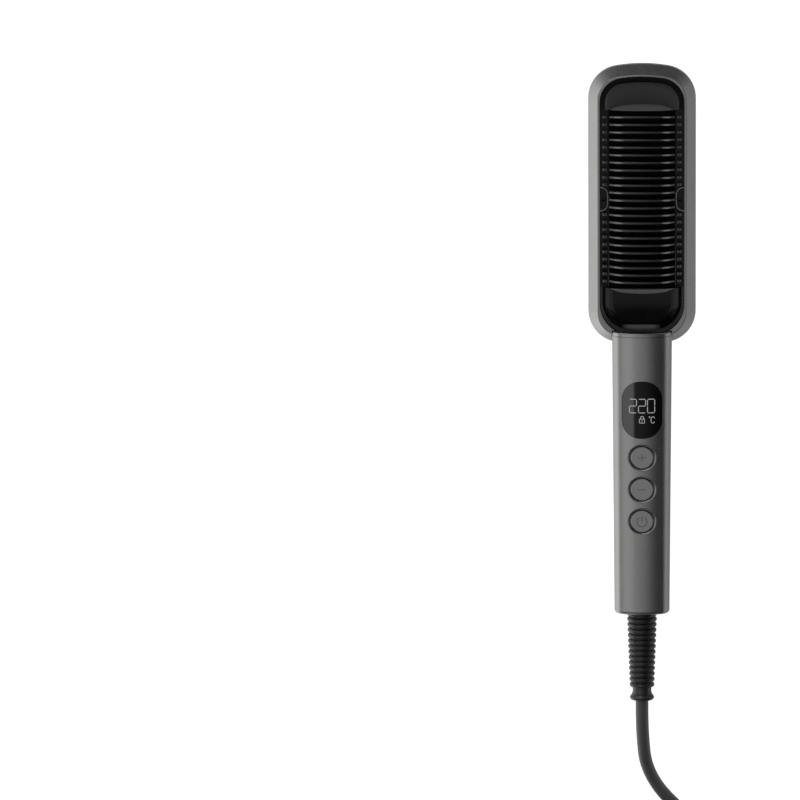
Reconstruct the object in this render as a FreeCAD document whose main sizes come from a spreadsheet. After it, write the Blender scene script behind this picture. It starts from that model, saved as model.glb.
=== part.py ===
import FreeCAD, Part
import math
import os
import re

import Sketcher

V = FreeCAD.Vector
doc = FreeCAD.newDocument("straightening_brush")

# Driving sizes in millimetres. X is across the brush, +Y points to the head's tip
# and +Z is the side with the comb. The origin is under the middle of the brush.
SIZES = {
    # clearances
    "fit_gap": 0.2,
    "slide_gap": 0.35,
    "root_gap": 0.05,
    "swivel_fit": 0.08,
    # head shell
    "head_width": 56.4,
    "head_length": 148.2,
    "head_tip": 145.2,
    "head_corner": 17.2,
    "head_end_round": 84.0,
    "back_round": 9.0,
    "bevel_base": 13.5,
    "bevel_inset": 4.9,
    "rim_top": 22.5,
    "shoulder_round": 2.4,
    "rim_round": 0.5,
    "shell_wall": 2.0,
    "head_floor": 2.0,
    "lip_depth": 2.0,
    "opening_inset": 6.0,
    "opening_tip": 5.5,
    "opening_corner": 13.0,
    "opening_heel": 2.9,
    "heel_corner": 16.3,
    "heel_end_round": 70.0,
    # handle
    "handle_width": 31.5,
    "handle_end_width": 29.0,
    "handle_depth": 31.0,
    "handle_lift": 0.4,
    "handle_end": -145.0,
    "handle_wall": 2.3,
    "end_wall": 2.6,
    "end_round": 1.8,
    "front_radius": 26.0,
    "front_share": 0.673,
    "cover_top": 5.4,
    "rear_join": 10.0,
    "lip_radius": 320.0,
    "lip_sag": 0.4,
    "lip_round": 0.7,
    # comb
    "comb_middle": 75.5,
    "arch_radius": 480.0,
    "crest_top": 32.9,
    "crest_half": 9.0,
    "crest_radius": 50.0,
    "crest_side_radius": 14.0,
    "fin_half": 17.1,
    "fin_height": 11.0,
    "fin_thickness": 1.3,
    "fin_pitch": 3.98,
    "fin_root": 1.6,
    "fin_edge_round": 0.4,
    # heating plate
    "plate_half": 16.8,
    "plate_base": 16.0,
    "flange_half": 19.4,
    "flange_top": 17.9,
    "flange_reach": 2.6,
    "web_middle": 7.3,
    "web_half": 2.8,
    "web_reach": 2.1,
    "web_height": 4.0,
    # comb frame
    "ledge_base": 18.1,
    "ledge_top": 19.5,
    "window_half": 17.3,
    "window_gap": 0.35,
    "tip_cap_side": 2.6,
    "tip_cap_end": 2.7,
    "heel_cap_side": 1.2,
    "heel_cap_end": 2.3,
    "cap_top": 25.2,
    "cap_wall": 1.8,
    "cap_round": 1.6,
    "heel_round": 5.5,
    "heel_wall": 3.4,
    "ramp_reach": 3.2,
    # guard rails
    "rail_inner": 17.6,
    "rail_outer": 21.8,
    "rail_rise": 3.6,
    "tooth_inner": 18.3,
    "tooth_outer": 20.7,
    "tooth_drop": 5.2,
    "tooth_dome": 1.6,
    "lug_half": 6.45,
    "lug_rise": 6.1,
    "lug_round": 4.0,
    "lug_edge_round": 0.3,
    "lug_rim": 0.6,
    "lug_recess": 0.5,
    "lug_hole_x": 19.9,
    "lug_hole_radius": 1.4,
    "lug_seat": 1.3,
    "lug_screw_radius": 0.8,
    "lug_screw_head": 1.2,
    "lug_screw_depth": 1.1,
    # heater parts
    "heater_half": 7.0,
    "heater_length": 76.0,
    "heater_depth": 1.5,
    "mica_half": 8.0,
    "mica_length": 80.0,
    "mica_depth": 0.6,
    "clamp_half": 9.0,
    "clamp_length": 94.0,
    "clamp_depth": 1.4,
    "clamp_screw_y": 44.0,
    "clamp_screw_length": 5.1,
    "sensor_x": 12.4,
    "sensor_radius": 1.3,
    "sensor_length": 6.0,
    "fuse_radius": 2.0,
    "fuse_length": 9.5,
    # screws and bosses
    "screw_radius": 1.1,
    "screw_head_radius": 2.1,
    "screw_head_depth": 1.4,
    "thread_gap": 0.05,
    "frame_screw_length": 11.0,
    "boss_radius": 2.7,
    "seat_radius": 3.3,
    "post_radius": 3.0,
    "tip_post_y": 131.5,
    "heel_post_y": 17.0,
    "cover_screw_top_y": -9.0,
    "cover_screw_low_y": -118.0,
    "cover_screw_x": 7.4,
    "cover_screw_length": 15.0,
    "cover_boss_top": 27.9,
    "rear_seat": 6.0,
    "board_screw_x": 8.6,
    "board_screw_top_y": -17.0,
    "board_screw_low_y": -107.0,
    "board_screw_length": 6.0,
    # display and board
    "window_width": 21.0,
    "window_length": 30.2,
    "window_corner": 9.6,
    "window_y": -35.4,
    "lens_depth": 1.9,
    "display_half": 8.4,
    "display_length": 24.0,
    "display_top": 26.6,
    "display_round": 1.2,
    "board_half": 11.4,
    "board_top": 20.0,
    "board_depth": 1.6,
    "board_head": -12.6,
    "board_foot": -111.2,
    "board_corner": 1.5,
    # buttons and switches
    "button_radius": 5.85,
    "button_top": 30.35,
    "button_edge_round": 0.35,
    "button_hole_round": 1.1,
    "button_first_y": -60.9,
    "button_pitch": 16.97,
    "flange_radius": 7.3,
    "button_flange_top": 27.3,
    "button_flange_depth": 0.9,
    "stem_radius": 2.2,
    "switch_half": 3.0,
    "switch_height": 3.4,
    "plunger_radius": 1.7,
    "plunger_rise": 0.9,
    "plunger_sink": 1.2,
    "button_travel": 0.5,
    # cord swivel
    "relief_hole": 7.4,
    "relief_neck": 7.05,
    "collar_radius": 9.5,
    "collar_depth": 2.6,
    "spindle_radius": 4.6,
    "spindle_end": -121.6,
    "bearing_depth": 5.4,
    "ring_radius": 6.0,
    "ring_width": 3.0,
    "ring_first_y": -130.6,
    "ring_pitch": 5.0,
    "spring_half": 1.3,
    "spring_depth": 0.5,
    "spring_rise": 2.4,
    "spring_gap": 0.15,
    # strain relief
    "relief_start": -145.4,
    "rib_first_y": -146.75,
    "rib_pitch": 2.94,
    "rib_width": 2.1,
    "rib_first_radius": 8.0,
    "rib_last_radius": 6.6,
    "rib_height": 1.5,
    "rib_crown": 1.25,
    "neck_y": -187.8,
    "neck_radius": 4.95,
    "flare_y": -191.3,
    "flare_radius": 6.4,
    "flare_bend": 4.6,
    "flare_round": 1.6,
    "relief_end": -193.2,
    "relief_end_radius": 5.3,
    # cord, hank and plug
    "cord_diameter": 6.8,
    "run_a_y": -203.0,
    "run_b_x": 0.5,
    "run_b_y": -215.0,
    "run_b_z": 13.6,
    "run_c_x": 1.9,
    "run_c_y": -229.5,
    "run_c_z": 9.2,
    "run_last": 17.0,
    "hank_x": 6.1,
    "hank_y": -332.6,
    "hank_run": 102.0,
    "hank_wide": 28.2,
    "hank_step": 7.8,
    "hank_waist": 7.0,
    "hank_lift": 1.5,
    "layer_step": 7.5,
    "tail_a_y": -405.0,
    "tail_b_x": 31.5,
    "tail_b_y": -420.0,
    "tail_b_z": 22.9,
    "tail_c_x": 25.5,
    "tail_c_y": -436.0,
    "tail_c_z": 14.6,
    "tail_d_x": 21.4,
    "tail_d_y": -452.0,
    "tail_d_z": 8.7,
    "tail_e_x": 20.0,
    "tail_e_y": -467.0,
    "tail_last": 11.0,
    "tie_depth": 1.1,
    "tie_width": 12.0,
    "tie_gap": 0.4,
    "tie_round": 4.0,
    "plug_half": 17.6,
    "plug_depth": 13.8,
    "plug_length": 31.0,
    "plug_front_half": 13.4,
    "plug_back_half": 7.5,
    "plug_shoulder": 11.0,
    "plug_edge_round": 2.2,
    "plug_neck_length": 15.0,
    "plug_neck_radius": 6.0,
    "plug_neck_end_radius": 4.6,
    "pin_radius": 2.0,
    "pin_length": 19.0,
    "pin_x": 9.3,
    "pin_round": 1.2,
    # wires inside
    "wire_radius": 0.55,
    "wire_x": 5.0,
    "wire_bend": 10.0,
    "mains_wire_x": 3.0,
    "mains_wire_bend": 3.4,
}
FIN_COUNT = 23
END_ROW = 12
TOOTH_COUNT = 10
FIRST_TOOTH_ROW = 2
BUTTONS = ("plus", "minus", "power")
RIB_COUNT = 14
HANK_LAYERS = 4
# how far the tray's floor has come in and down at each step of its rounded edge
FLOOR_SHARES = ((0, 0), (0.134, 0.5), (0.5, 0.866), (1, 1))

sheet = doc.addObject("Spreadsheet::Sheet", "dims")
for row, (name, size) in enumerate(SIZES.items(), 1):
    sheet.set(f"A{row}", name)
    sheet.set(f"B{row}", str(size))
    sheet.setAlias(f"B{row}", name)
doc.recompute()


def ex(text):
    """The expression with each size's name pointed at its cell."""

    def cell(found):
        return "dims." + found.group() if found.group() in SIZES else found.group()

    return re.sub(r"[a-z][a-z0-9_]*", cell, text)


def val(text):
    """The expression's value now."""
    return float(sheet.evalExpression(ex(text)))


def body(label):
    made = doc.addObject("PartDesign::Body", label)
    made.Label = label
    return made


def origin(owner, role):
    return [f for f in owner.Origin.OriginFeatures if f.Role == role][0]


def draw(drawn, loop):
    """One closed loop: (x, y) ends a line there and (x, y, radius, turn) an arc, all bound to the sheet."""
    ends = [V(val(leg[0]), val(leg[1]), 0) for leg in loop]
    first = drawn.GeometryCount
    entry = []
    for i, leg in enumerate(loop):
        start, end = ends[i - 1], ends[i]
        if len(leg) == 2:
            drawn.addGeometry(Part.LineSegment(start, end))
            entry.append((1, 2))
            continue
        radius, turn = val(leg[2]), leg[3]
        chord = end - start
        rise = math.sqrt(max(radius**2 - (chord.Length / 2) ** 2, 0))
        middle = (start + end) / 2 + V(-chord.y, chord.x, 0).normalize() * rise * turn
        run = (start, end) if turn > 0 else (end, start)
        angles = [math.atan2(p.y - middle.y, p.x - middle.x) for p in run]
        drawn.addGeometry(Part.ArcOfCircle(Part.Circle(middle, V(0, 0, 1), radius), *angles))
        entry.append((1, 2) if turn > 0 else (2, 1))
    for i, leg in enumerate(loop):
        after = (i + 1) % len(loop)
        end, meets = (first + i, entry[i][1]), (first + after, entry[after][0])
        drawn.addConstraint(Sketcher.Constraint("Coincident", *end, *meets))
        bound = [("DistanceX", end, leg[0]), ("DistanceY", end, leg[1])]
        if len(leg) > 2:
            bound.append(("Radius", (first + i,), leg[2]))
        for kind, where, text in bound:
            bind(drawn, kind, where, text)


def bind(drawn, kind, where, text):
    index = drawn.addConstraint(Sketcher.Constraint(kind, *where, val(text)))
    label = f"{kind}_of_{index}"
    drawn.renameConstraint(index, label)
    drawn.setExpression(f"Constraints.{label}", ex(text))


def ring(drawn, x, y, radius):
    """A full circle."""
    index = drawn.addGeometry(Part.Circle(V(val(x), val(y), 0), V(0, 0, 1), val(radius)))
    bind(drawn, "DistanceX", (index, 3), x)
    bind(drawn, "DistanceY", (index, 3), y)
    bind(drawn, "Radius", (index,), radius)


def sketch(owner, name, role, loops=(), rings=(), offset="0", lean=None):
    """A sketch on one of the body's planes, moved along its normal, or leant about X by some fin pitches."""
    drawn = owner.newObject("Sketcher::SketchObject", name)
    drawn.AttachmentSupport = [(origin(owner, role), "")]
    drawn.MapMode = "FlatFace"
    if lean is None:
        drawn.setExpression("AttachmentOffset.Base.z", ex(offset))
    else:
        drawn.AttachmentOffset = FreeCAD.Placement(V(0, 0, 0), FreeCAD.Rotation(V(1, 0, 0), 1))
        drawn.setExpression("AttachmentOffset.Rotation.Angle", ex(row_angle(lean)))
        drawn.setExpression("AttachmentOffset.Base.y", ex(f"-({offset}) * sin({row_angle(lean)})"))
        drawn.setExpression("AttachmentOffset.Base.z", ex(f"({offset}) * cos({row_angle(lean)})"))
    for loop in loops:
        draw(drawn, loop)
    for x, y, radius in rings:
        ring(drawn, x, y, radius)
    doc.recompute()
    return drawn


def row_angle(rows):
    """The angle in degrees of some rows along the comb's arch."""
    return f"({rows} * fin_pitch / arch_radius * 180 / pi)"


def volume(owner):
    return 0 if owner.Shape.isNull() else owner.Shape.Volume


def settle(owner, made, before, grows):
    """Recomputes, and stops if the feature failed or went the wrong way."""
    owner.Tip = made
    doc.recompute()
    if any(word in made.State for word in ("Invalid", "Error")) or made.Shape.isNull():
        raise RuntimeError(f"{owner.Label}: {made.Name} failed, {made.getStatusString()}")
    change = owner.Shape.Volume - before
    if grows is not None and change * (1 if grows else -1) <= 0:
        raise RuntimeError(f"{owner.Label}: {made.Name} changed the volume by {change:.2f}")
    return made


def pad(owner, name, profile, length, reverse=False, middle=False):
    before = volume(owner)
    made = owner.newObject("PartDesign::Pad", name)
    made.Profile = profile
    made.setExpression("Length", ex(length))
    made.Reversed = reverse
    made.Midplane = middle
    return settle(owner, made, before, True)


def pocket(owner, name, profile, length=None, reverse=False, middle=False):
    before = volume(owner)
    made = owner.newObject("PartDesign::Pocket", name)
    made.Profile = profile
    if length is None:
        made.Type = "ThroughAll"
    else:
        made.setExpression("Length", ex(length))
    made.Reversed = reverse
    made.Midplane = middle
    return settle(owner, made, before, False)


def loft(owner, name, profile, section, cut=False):
    before = volume(owner)
    made = owner.newObject("PartDesign::SubtractiveLoft" if cut else "PartDesign::AdditiveLoft", name)
    made.Profile = profile
    made.Sections = [section]
    made.Ruled = True
    return settle(owner, made, before, not cut)


def turn_about(owner, name, profile, axis):
    before = volume(owner)
    made = owner.newObject("PartDesign::Revolution", name)
    made.Profile = profile
    made.ReferenceAxis = (profile, [axis])
    made.Angle = 360
    return settle(owner, made, before, True)


def fan(owner, name, features, steps):
    """Repeats features round the body's X axis, one fin pitch apart at the crest."""
    before = volume(owner)
    made = owner.newObject("PartDesign::PolarPattern", name)
    made.Originals = features
    made.Axis = (origin(owner, "X_Axis"), [""])
    made.setExpression("Angle", ex(row_angle(steps)))
    made.Occurrences = steps + 1
    return settle(owner, made, before, None)


def round_edges(owner, name, radius, pick):
    before = volume(owner)
    base = owner.Tip
    names = [f"Edge{i}" for i, edge in enumerate(base.Shape.Edges, 1) if pick(edge)]
    if not names:
        raise RuntimeError(f"{owner.Label}: {name} found no edge")
    made = owner.newObject("PartDesign::Fillet", name)
    made.Base = (base, names)
    made.setExpression("Radius", ex(radius))
    return settle(owner, made, before, None)


def close(number, text):
    return abs(number - val(text)) < val("fit_gap / 20")


def level_at(text):
    """Picks edges that lie wholly at one height."""
    return lambda edge: close(edge.BoundBox.ZMin, text) and close(edge.BoundBox.ZMax, text)


def box_loop(left, right, low, high):
    return [(right, low), (right, high), (left, high), (left, low)]


def rounded_loop(left, right, low, high, corner):
    """A rectangle with rounded corners, anticlockwise."""
    return [
        (f"{right}", f"{high} - ({corner})"),
        (f"{right} - ({corner})", f"{high}", corner, 1),
        (f"{left} + ({corner})", f"{high}"),
        (f"{left}", f"{high} - ({corner})", corner, 1),
        (f"{left}", f"{low} + ({corner})"),
        (f"{left} + ({corner})", f"{low}", corner, 1),
        (f"{right} - ({corner})", f"{low}"),
        (f"{right}", f"{low} + ({corner})", corner, 1),
    ]


def end_points(half, end, corner, crown, sign):
    """Where a rounded end's corner arc starts, and where it meets the end's shallow arc."""
    reach = f"(({crown}) - ({corner}))"
    across = f"(({half}) - ({corner}))"
    rise = f"sqrt({reach}^2 - {across}^2)"
    start = (half, f"({end}) - {sign} * (({crown}) - {rise})")
    meet = (f"({crown}) * {across} / {reach}", f"({end}) - {sign} * ({crown}) * (1 - {rise} / {reach})")
    return start, meet


def capsule(half, tip, tip_corner, tip_crown, heel, heel_corner, heel_crown):
    """Straight sides with a rounded, slightly crowned end at each end, anticlockwise."""
    side, tip_meet = end_points(half, tip, tip_corner, tip_crown, 1)
    low_side, heel_meet = end_points(half, heel, heel_corner, heel_crown, -1)
    return [
        side,
        (*tip_meet, tip_corner, 1),
        (f"-({tip_meet[0]})", tip_meet[1], tip_crown, 1),
        (f"-({side[0]})", side[1], tip_corner, 1),
        (f"-({low_side[0]})", low_side[1]),
        (f"-({heel_meet[0]})", heel_meet[1], heel_corner, 1),
        (*heel_meet, heel_crown, 1),
        (*low_side, heel_corner, 1),
    ]


def head_loop(inset):
    """The head's outline, moved inward."""
    corner, crown = f"head_corner - ({inset})", f"head_end_round - ({inset})"
    heel = f"head_tip - head_length + ({inset})"
    half, tip = f"head_width / 2 - ({inset})", f"head_tip - ({inset})"
    return capsule(half, tip, corner, crown, heel, corner, crown)


def opening_sizes(inset):
    return {
        "half": f"head_width / 2 - opening_inset - ({inset})",
        "tip": f"head_tip - opening_tip - ({inset})",
        "tip_corner": f"opening_corner - ({inset})",
        "tip_crown": f"head_end_round - opening_inset - ({inset})",
        "heel": f"opening_heel + ({inset})",
        "heel_corner": f"heel_corner - ({inset})",
        "heel_crown": f"heel_end_round - ({inset})",
    }


def opening_loop(inset):
    """The outline of the shell's front opening, moved inward."""
    return capsule(**opening_sizes(inset))


def half_at(y):
    """Half the handle's width at one place along it."""
    slope = "(handle_width - handle_end_width) / 2 / (cover_top - handle_end)"
    return f"(handle_width / 2 - (cover_top - ({y})) * {slope})"


def handle_loop(y, inset="0", front=True, back=False):
    """The handle's section moved inward: its front half, its back half or the whole of it."""
    half = f"({half_at(y)} - ({inset}))"
    front_x = f"(front_share * {half_at(y)} * (1 - ({inset}) / front_radius))"
    bend = f"(front_radius - ({inset}))"
    side = f"(({half} - {front_x}) / (1 - {front_x} / {bend}))"
    rise = f"sqrt({bend}^2 - {front_x}^2)"
    front_z = f"(handle_depth - front_radius + {rise})"
    side_z = f"({front_z} - {side} * {rise} / {bend})"
    split = "handle_depth / 2"
    top = [
        (half, side_z),
        (front_x, front_z, side, 1),
        (f"-{front_x}", front_z, bend, 1),
        (f"-{half}", side_z, side, 1),
    ]
    low = [
        (f"-{half}", f"handle_depth + handle_lift - {side_z}"),
        (f"-{front_x}", f"handle_depth + handle_lift - {front_z}", side, 1),
        (front_x, f"handle_depth + handle_lift - {front_z}", bend, 1),
        (half, f"handle_depth + handle_lift - {side_z}", side, 1),
    ]
    if front and back:
        return top + low
    if front:
        return top + [(f"-{half}", split), (half, split)]
    return low + [(half, split), (f"-{half}", split)]


def handle_sketch(owner, name, y, inset="0", front=True, back=False):
    return sketch(owner, name, "XZ_Plane", [handle_loop(y, inset, front, back)], offset=f"-({y})")


SCREW = ("screw_head_radius", "screw_head_depth", "screw_radius")


def screw_group(label, spots, seat, length, up, sizes=SCREW):
    """Screws with their heads' inner faces at one height, as one group of separate solids."""
    head, depth, shank = sizes
    made = body(label)
    heads = sketch(made, "heads", "XY_Plane", rings=[(x, y, head) for x, y in spots], offset=seat)
    pad(made, "head", heads, depth, reverse=up)
    shanks = sketch(made, "shanks", "XY_Plane", rings=[(x, y, shank) for x, y in spots], offset=seat)
    pad(made, "shank", shanks, length, reverse=not up)
    return made


def box(label, size, corner):
    made = doc.addObject("Part::Box", label)
    made.Label = label
    for prop, text in zip(("Length", "Width", "Height"), size):
        made.setExpression(prop, ex(text))
    for axis, text in zip("xyz", corner):
        made.setExpression(f"Placement.Base.{axis}", ex(text))
    return made


def rod(label, radius, length, base, direction):
    made = doc.addObject("Part::Cylinder", label)
    made.Label = label
    made.setExpression("Radius", ex(radius))
    made.setExpression("Height", ex(length))
    made.Placement = FreeCAD.Placement(V(0, 0, 0), FreeCAD.Rotation(V(0, 0, 1), direction))
    for axis, text in zip("xyz", base):
        made.setExpression(f"Placement.Base.{axis}", ex(text))
    return made


nodes = []
split_z = "handle_depth / 2"
comb_y = "comb_middle"
lug_spots = [("-lug_hole_x", comb_y), ("lug_hole_x", comb_y)]
cover_top_spot = [("0", "cover_screw_top_y")]
cover_low_spots = [("-cover_screw_x", "cover_screw_low_y"), ("cover_screw_x", "cover_screw_low_y")]
board_spots = [
    (f"{sign}board_screw_x", y) for y in ("board_screw_top_y", "board_screw_low_y") for sign in ("-", "")
]
button_ys = [f"button_first_y - {i} * button_pitch" for i in range(len(BUTTONS))]

# Rear housing: the head's tray and the back half of the handle in one moulding.
rear = body("rear_housing")
pad(rear, "tray_block", sketch(rear, "tray_outline", "XY_Plane", [head_loop("0")]), "bevel_base")
round_edges(rear, "back_edge", "back_round", level_at("0"))
loft(
    rear,
    "bevel",
    sketch(rear, "bevel_foot", "XY_Plane", [head_loop("0")], offset="bevel_base"),
    sketch(rear, "bevel_head", "XY_Plane", [head_loop("bevel_inset")], offset="rim_top"),
)
round_edges(rear, "shoulder", "shoulder_round", level_at("bevel_base"))
round_edges(rear, "rim_edge", "rim_round", level_at("rim_top"))
loft(
    rear,
    "handle_back",
    handle_sketch(rear, "back_join", "rear_join", front=False, back=True),
    handle_sketch(rear, "back_end", "handle_end", front=False, back=True),
)


def end_edges(edge):
    """The edges round the handle's end, apart from the parting line."""
    box_of = edge.BoundBox
    at_end = close(box_of.YMin, "handle_end") and close(box_of.YMax, "handle_end")
    flat = close(box_of.ZMin, split_z) and close(box_of.ZMax, split_z)
    return at_end and not flat


round_edges(rear, "back_end_edge", "end_round", end_edges)
pocket(
    rear,
    "front_opening",
    sketch(rear, "opening", "XY_Plane", [opening_loop("0")], offset="rim_top"),
    "rim_top - bevel_base",
)
lip_inset = "shell_wall + bevel_inset * (rim_top - lip_depth - bevel_base) / (rim_top - bevel_base)"
loft(
    rear,
    "tray_hollow",
    sketch(rear, "hollow_foot", "XY_Plane", [head_loop("shell_wall")], offset="bevel_base"),
    sketch(rear, "hollow_head", "XY_Plane", [head_loop(lip_inset)], offset="rim_top - lip_depth"),
    cut=True,
)
pocket(
    rear,
    "tray_side",
    sketch(rear, "side_outline", "XY_Plane", [head_loop("shell_wall")], offset="bevel_base"),
    "bevel_base - back_round",
)
for low_share, high_share in zip(FLOOR_SHARES[1:], FLOOR_SHARES):
    rims = [
        sketch(
            rear,
            "floor_step",
            "XY_Plane",
            [head_loop(f"shell_wall + (back_round - shell_wall) * {inset_share}")],
            offset=f"back_round - (back_round - head_floor) * {drop_share}",
        )
        for inset_share, drop_share in (high_share, low_share)
    ]
    loft(rear, "tray_floor", *rims, cut=True)
loft(
    rear,
    "handle_hollow",
    handle_sketch(rear, "hollow_join", "rear_join", "handle_wall", front=False, back=True),
    handle_sketch(rear, "hollow_end", "handle_end + end_wall", "handle_wall", front=False, back=True),
    cut=True,
)
loft(
    rear,
    "cover_notch",
    handle_sketch(rear, "notch_top", "cover_top + fit_gap", "-fit_gap"),
    handle_sketch(rear, "notch_low", "head_tip - head_length - rear_join", "-fit_gap"),
    cut=True,
)
relief_ring = [("0", split_z, "relief_hole")]
pocket(
    rear,
    "relief_seat",
    sketch(rear, "relief_ring", "XZ_Plane", rings=relief_ring, offset="-handle_end"),
    "end_wall + fit_gap",
)
bosses = sketch(
    rear,
    "screw_bosses",
    "XY_Plane",
    rings=[(x, y, "boss_radius") for x, y in lug_spots],
    offset="head_floor / 2",
)
pad(rear, "lug_boss", bosses, "ledge_base - head_floor / 2")
posts = sketch(
    rear,
    "cap_posts",
    "XY_Plane",
    rings=[("0", "tip_post_y", "post_radius"), ("0", "heel_post_y", "post_radius")],
    offset="head_floor / 2",
)
pad(rear, "cap_post", posts, "cap_top - cap_wall - head_floor / 2")
for spots, label, low in (
    (cover_top_spot, "middle_boss", "handle_lift + handle_wall / 2"),
    (cover_low_spots, "side_boss", "rear_seat / 2"),
):
    boss = sketch(
        rear,
        f"{label}_outline",
        "XY_Plane",
        rings=[(x, y, "seat_radius") for x, y in spots],
        offset=low,
    )
    pad(rear, label, boss, f"{split_z} - ({low})")
pilot = sketch(
    rear,
    "lug_pilots",
    "XY_Plane",
    rings=[(x, y, "lug_screw_radius + thread_gap") for x, y in lug_spots],
    offset="ledge_base",
)
pocket(rear, "lug_pilot", pilot, "frame_screw_length")
clear_holes = sketch(
    rear,
    "cover_screw_holes",
    "XY_Plane",
    rings=[(x, y, "screw_radius + fit_gap") for x, y in cover_top_spot + cover_low_spots],
)
pocket(rear, "cover_screw_hole", clear_holes, split_z, reverse=True)
sinks = sketch(
    rear,
    "cover_screw_sinks",
    "XY_Plane",
    rings=[(x, y, "screw_head_radius + fit_gap") for x, y in cover_top_spot + cover_low_spots],
)
pocket(rear, "cover_screw_sink", sinks, "rear_seat", reverse=True)
nodes.append(rear)

# Handle cover: the front half of the handle, with the window and the button holes.
cover = body("handle_cover")
loft(
    cover,
    "front_half",
    handle_sketch(cover, "front_top", "cover_top"),
    handle_sketch(cover, "front_end", "handle_end"),
)
round_edges(cover, "front_end_edge", "end_round", end_edges)
lip = sketch(
    cover,
    "lip_arc",
    "XY_Plane",
    rings=[("0", "cover_top - lip_sag + lip_radius", "lip_radius")],
    offset="handle_depth",
)
pocket(cover, "lip", lip)


def lip_edges(edge):
    """The outer edges of the lip that faces the comb, above the parting line."""
    box_of = edge.BoundBox
    return box_of.YMin > val("cover_top - 2 * lip_sag") and box_of.ZMax > val("handle_depth / 2 + fit_gap")


round_edges(cover, "lip_edge", "lip_round", lip_edges)
loft(
    cover,
    "front_hollow",
    handle_sketch(cover, "hollow_top", "cover_top", "handle_wall"),
    handle_sketch(cover, "hollow_low", "handle_end + end_wall", "handle_wall"),
    cut=True,
)
pocket(
    cover,
    "relief_half",
    sketch(cover, "relief_ring", "XZ_Plane", rings=relief_ring, offset="-handle_end"),
    "end_wall + fit_gap",
)


def window_loop(grow):
    half = f"(window_width / 2 + ({grow}))"
    long_half = f"(window_length / 2 + ({grow}))"
    corner = f"(window_corner + ({grow}))"
    return rounded_loop(f"-{half}", half, f"window_y - {long_half}", f"window_y + {long_half}", corner)


pocket(
    cover,
    "window",
    sketch(cover, "window_outline", "XY_Plane", [window_loop("fit_gap / 2")], offset="handle_depth"),
)
holes = sketch(
    cover,
    "button_holes",
    "XY_Plane",
    rings=[("0", y, "button_radius + slide_gap") for y in button_ys],
    offset="handle_depth",
)
pocket(cover, "button_hole", holes)


def button_rims(edge):
    """The outer edges of the button holes."""
    middle = edge.BoundBox.Center
    beside = any(abs(middle.y - val(y)) < val("button_radius") for y in button_ys)
    wide = edge.BoundBox.XLength > val("button_radius")
    short = edge.BoundBox.YLength < val("button_radius * 3")
    return beside and wide and short and edge.BoundBox.ZMax > val("handle_depth - handle_wall / 2")


round_edges(cover, "button_rim", "button_hole_round", button_rims)
for spots, label, high in (
    (cover_top_spot, "middle_boss", "handle_depth - handle_wall / 2"),
    (cover_low_spots, "side_boss", "cover_boss_top"),
):
    boss = sketch(
        cover,
        f"{label}_outline",
        "XY_Plane",
        rings=[(x, y, "boss_radius") for x, y in spots],
        offset=split_z,
    )
    pad(cover, label, boss, f"{high} - {split_z}")
high_bosses = sketch(
    cover,
    "board_bosses",
    "XY_Plane",
    rings=[(x, y, "boss_radius") for x, y in board_spots],
    offset="board_top",
)
pad(cover, "board_boss", high_bosses, "cover_boss_top - board_top")
pilots = sketch(
    cover,
    "cover_pilots",
    "XY_Plane",
    rings=[(x, y, "screw_radius + thread_gap") for x, y in cover_top_spot + cover_low_spots],
    offset=split_z,
)
pilot_depth = f"cover_screw_length - {split_z} + rear_seat + fit_gap"
pocket(cover, "cover_pilot", pilots, pilot_depth, reverse=True)
board_pilots = sketch(
    cover,
    "board_pilots",
    "XY_Plane",
    rings=[(x, y, "screw_radius + thread_gap") for x, y in board_spots],
    offset="board_top",
)
pocket(cover, "board_pilot", board_pilots, "board_screw_length - board_depth + fit_gap", reverse=True)
nodes.append(cover)

# Heated comb: a cast plate with thin fins standing on an arch. The bodies' own X axis is the arch's centre.
def on_arch(owner):
    """Puts a body's origin at the centre of the comb's arch."""
    owner.setExpression("Placement.Base.y", ex(comb_y))
    owner.setExpression("Placement.Base.z", ex("crest_top - arch_radius"))
    doc.recompute()


def arch_z(text):
    """A height in the part's frame, told from the arch's centre."""
    return f"({text} - crest_top + arch_radius)"


def crest_path(top, half):
    """A fin's rounded crest from right to left: a wide middle arc between two tighter shoulders."""
    lean = "crest_half / crest_radius"
    upright = f"sqrt(1 - ({lean})^2)"
    meet = f"({top} - crest_radius * (1 - {upright}))"
    side_x = "(crest_half * (1 - crest_side_radius / crest_radius))"
    side_y = f"({meet} - crest_side_radius * {upright})"
    end = f"({side_y} + sqrt(crest_side_radius^2 - ({half} - {side_x})^2))"
    path = [
        ("crest_half", meet, "crest_side_radius", 1),
        ("-crest_half", meet, "crest_radius", 1),
        (f"-({half})", end, "crest_side_radius", 1),
    ]
    return path, end


last_row = (FIN_COUNT - 1) // 2
fins = body("comb_fins")
on_arch(fins)
crest, crest_end = crest_path("arch_radius", "fin_half")
fin_foot = "arch_radius - fin_height - fin_root"
fin_loop = [("fin_half", crest_end), *crest, ("-fin_half", fin_foot), ("fin_half", fin_foot)]
fin_face = sketch(fins, "fin_face", "XZ_Plane", [fin_loop], lean=-last_row)
fin = pad(fins, "fin", fin_face, "fin_thickness", middle=True)
fan(fins, "fin_fan", [fin], FIN_COUNT - 1)


def crest_edges(edge):
    """The long edges along the fins' crests."""
    middle = edge.BoundBox.Center
    high = math.hypot(middle.y, middle.z) > val("arch_radius - fin_height + fin_root")
    return high and edge.BoundBox.XLength > val("crest_half / 2")


round_edges(fins, "fin_edge", "fin_edge_round", crest_edges)
nodes.append(fins)

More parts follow.
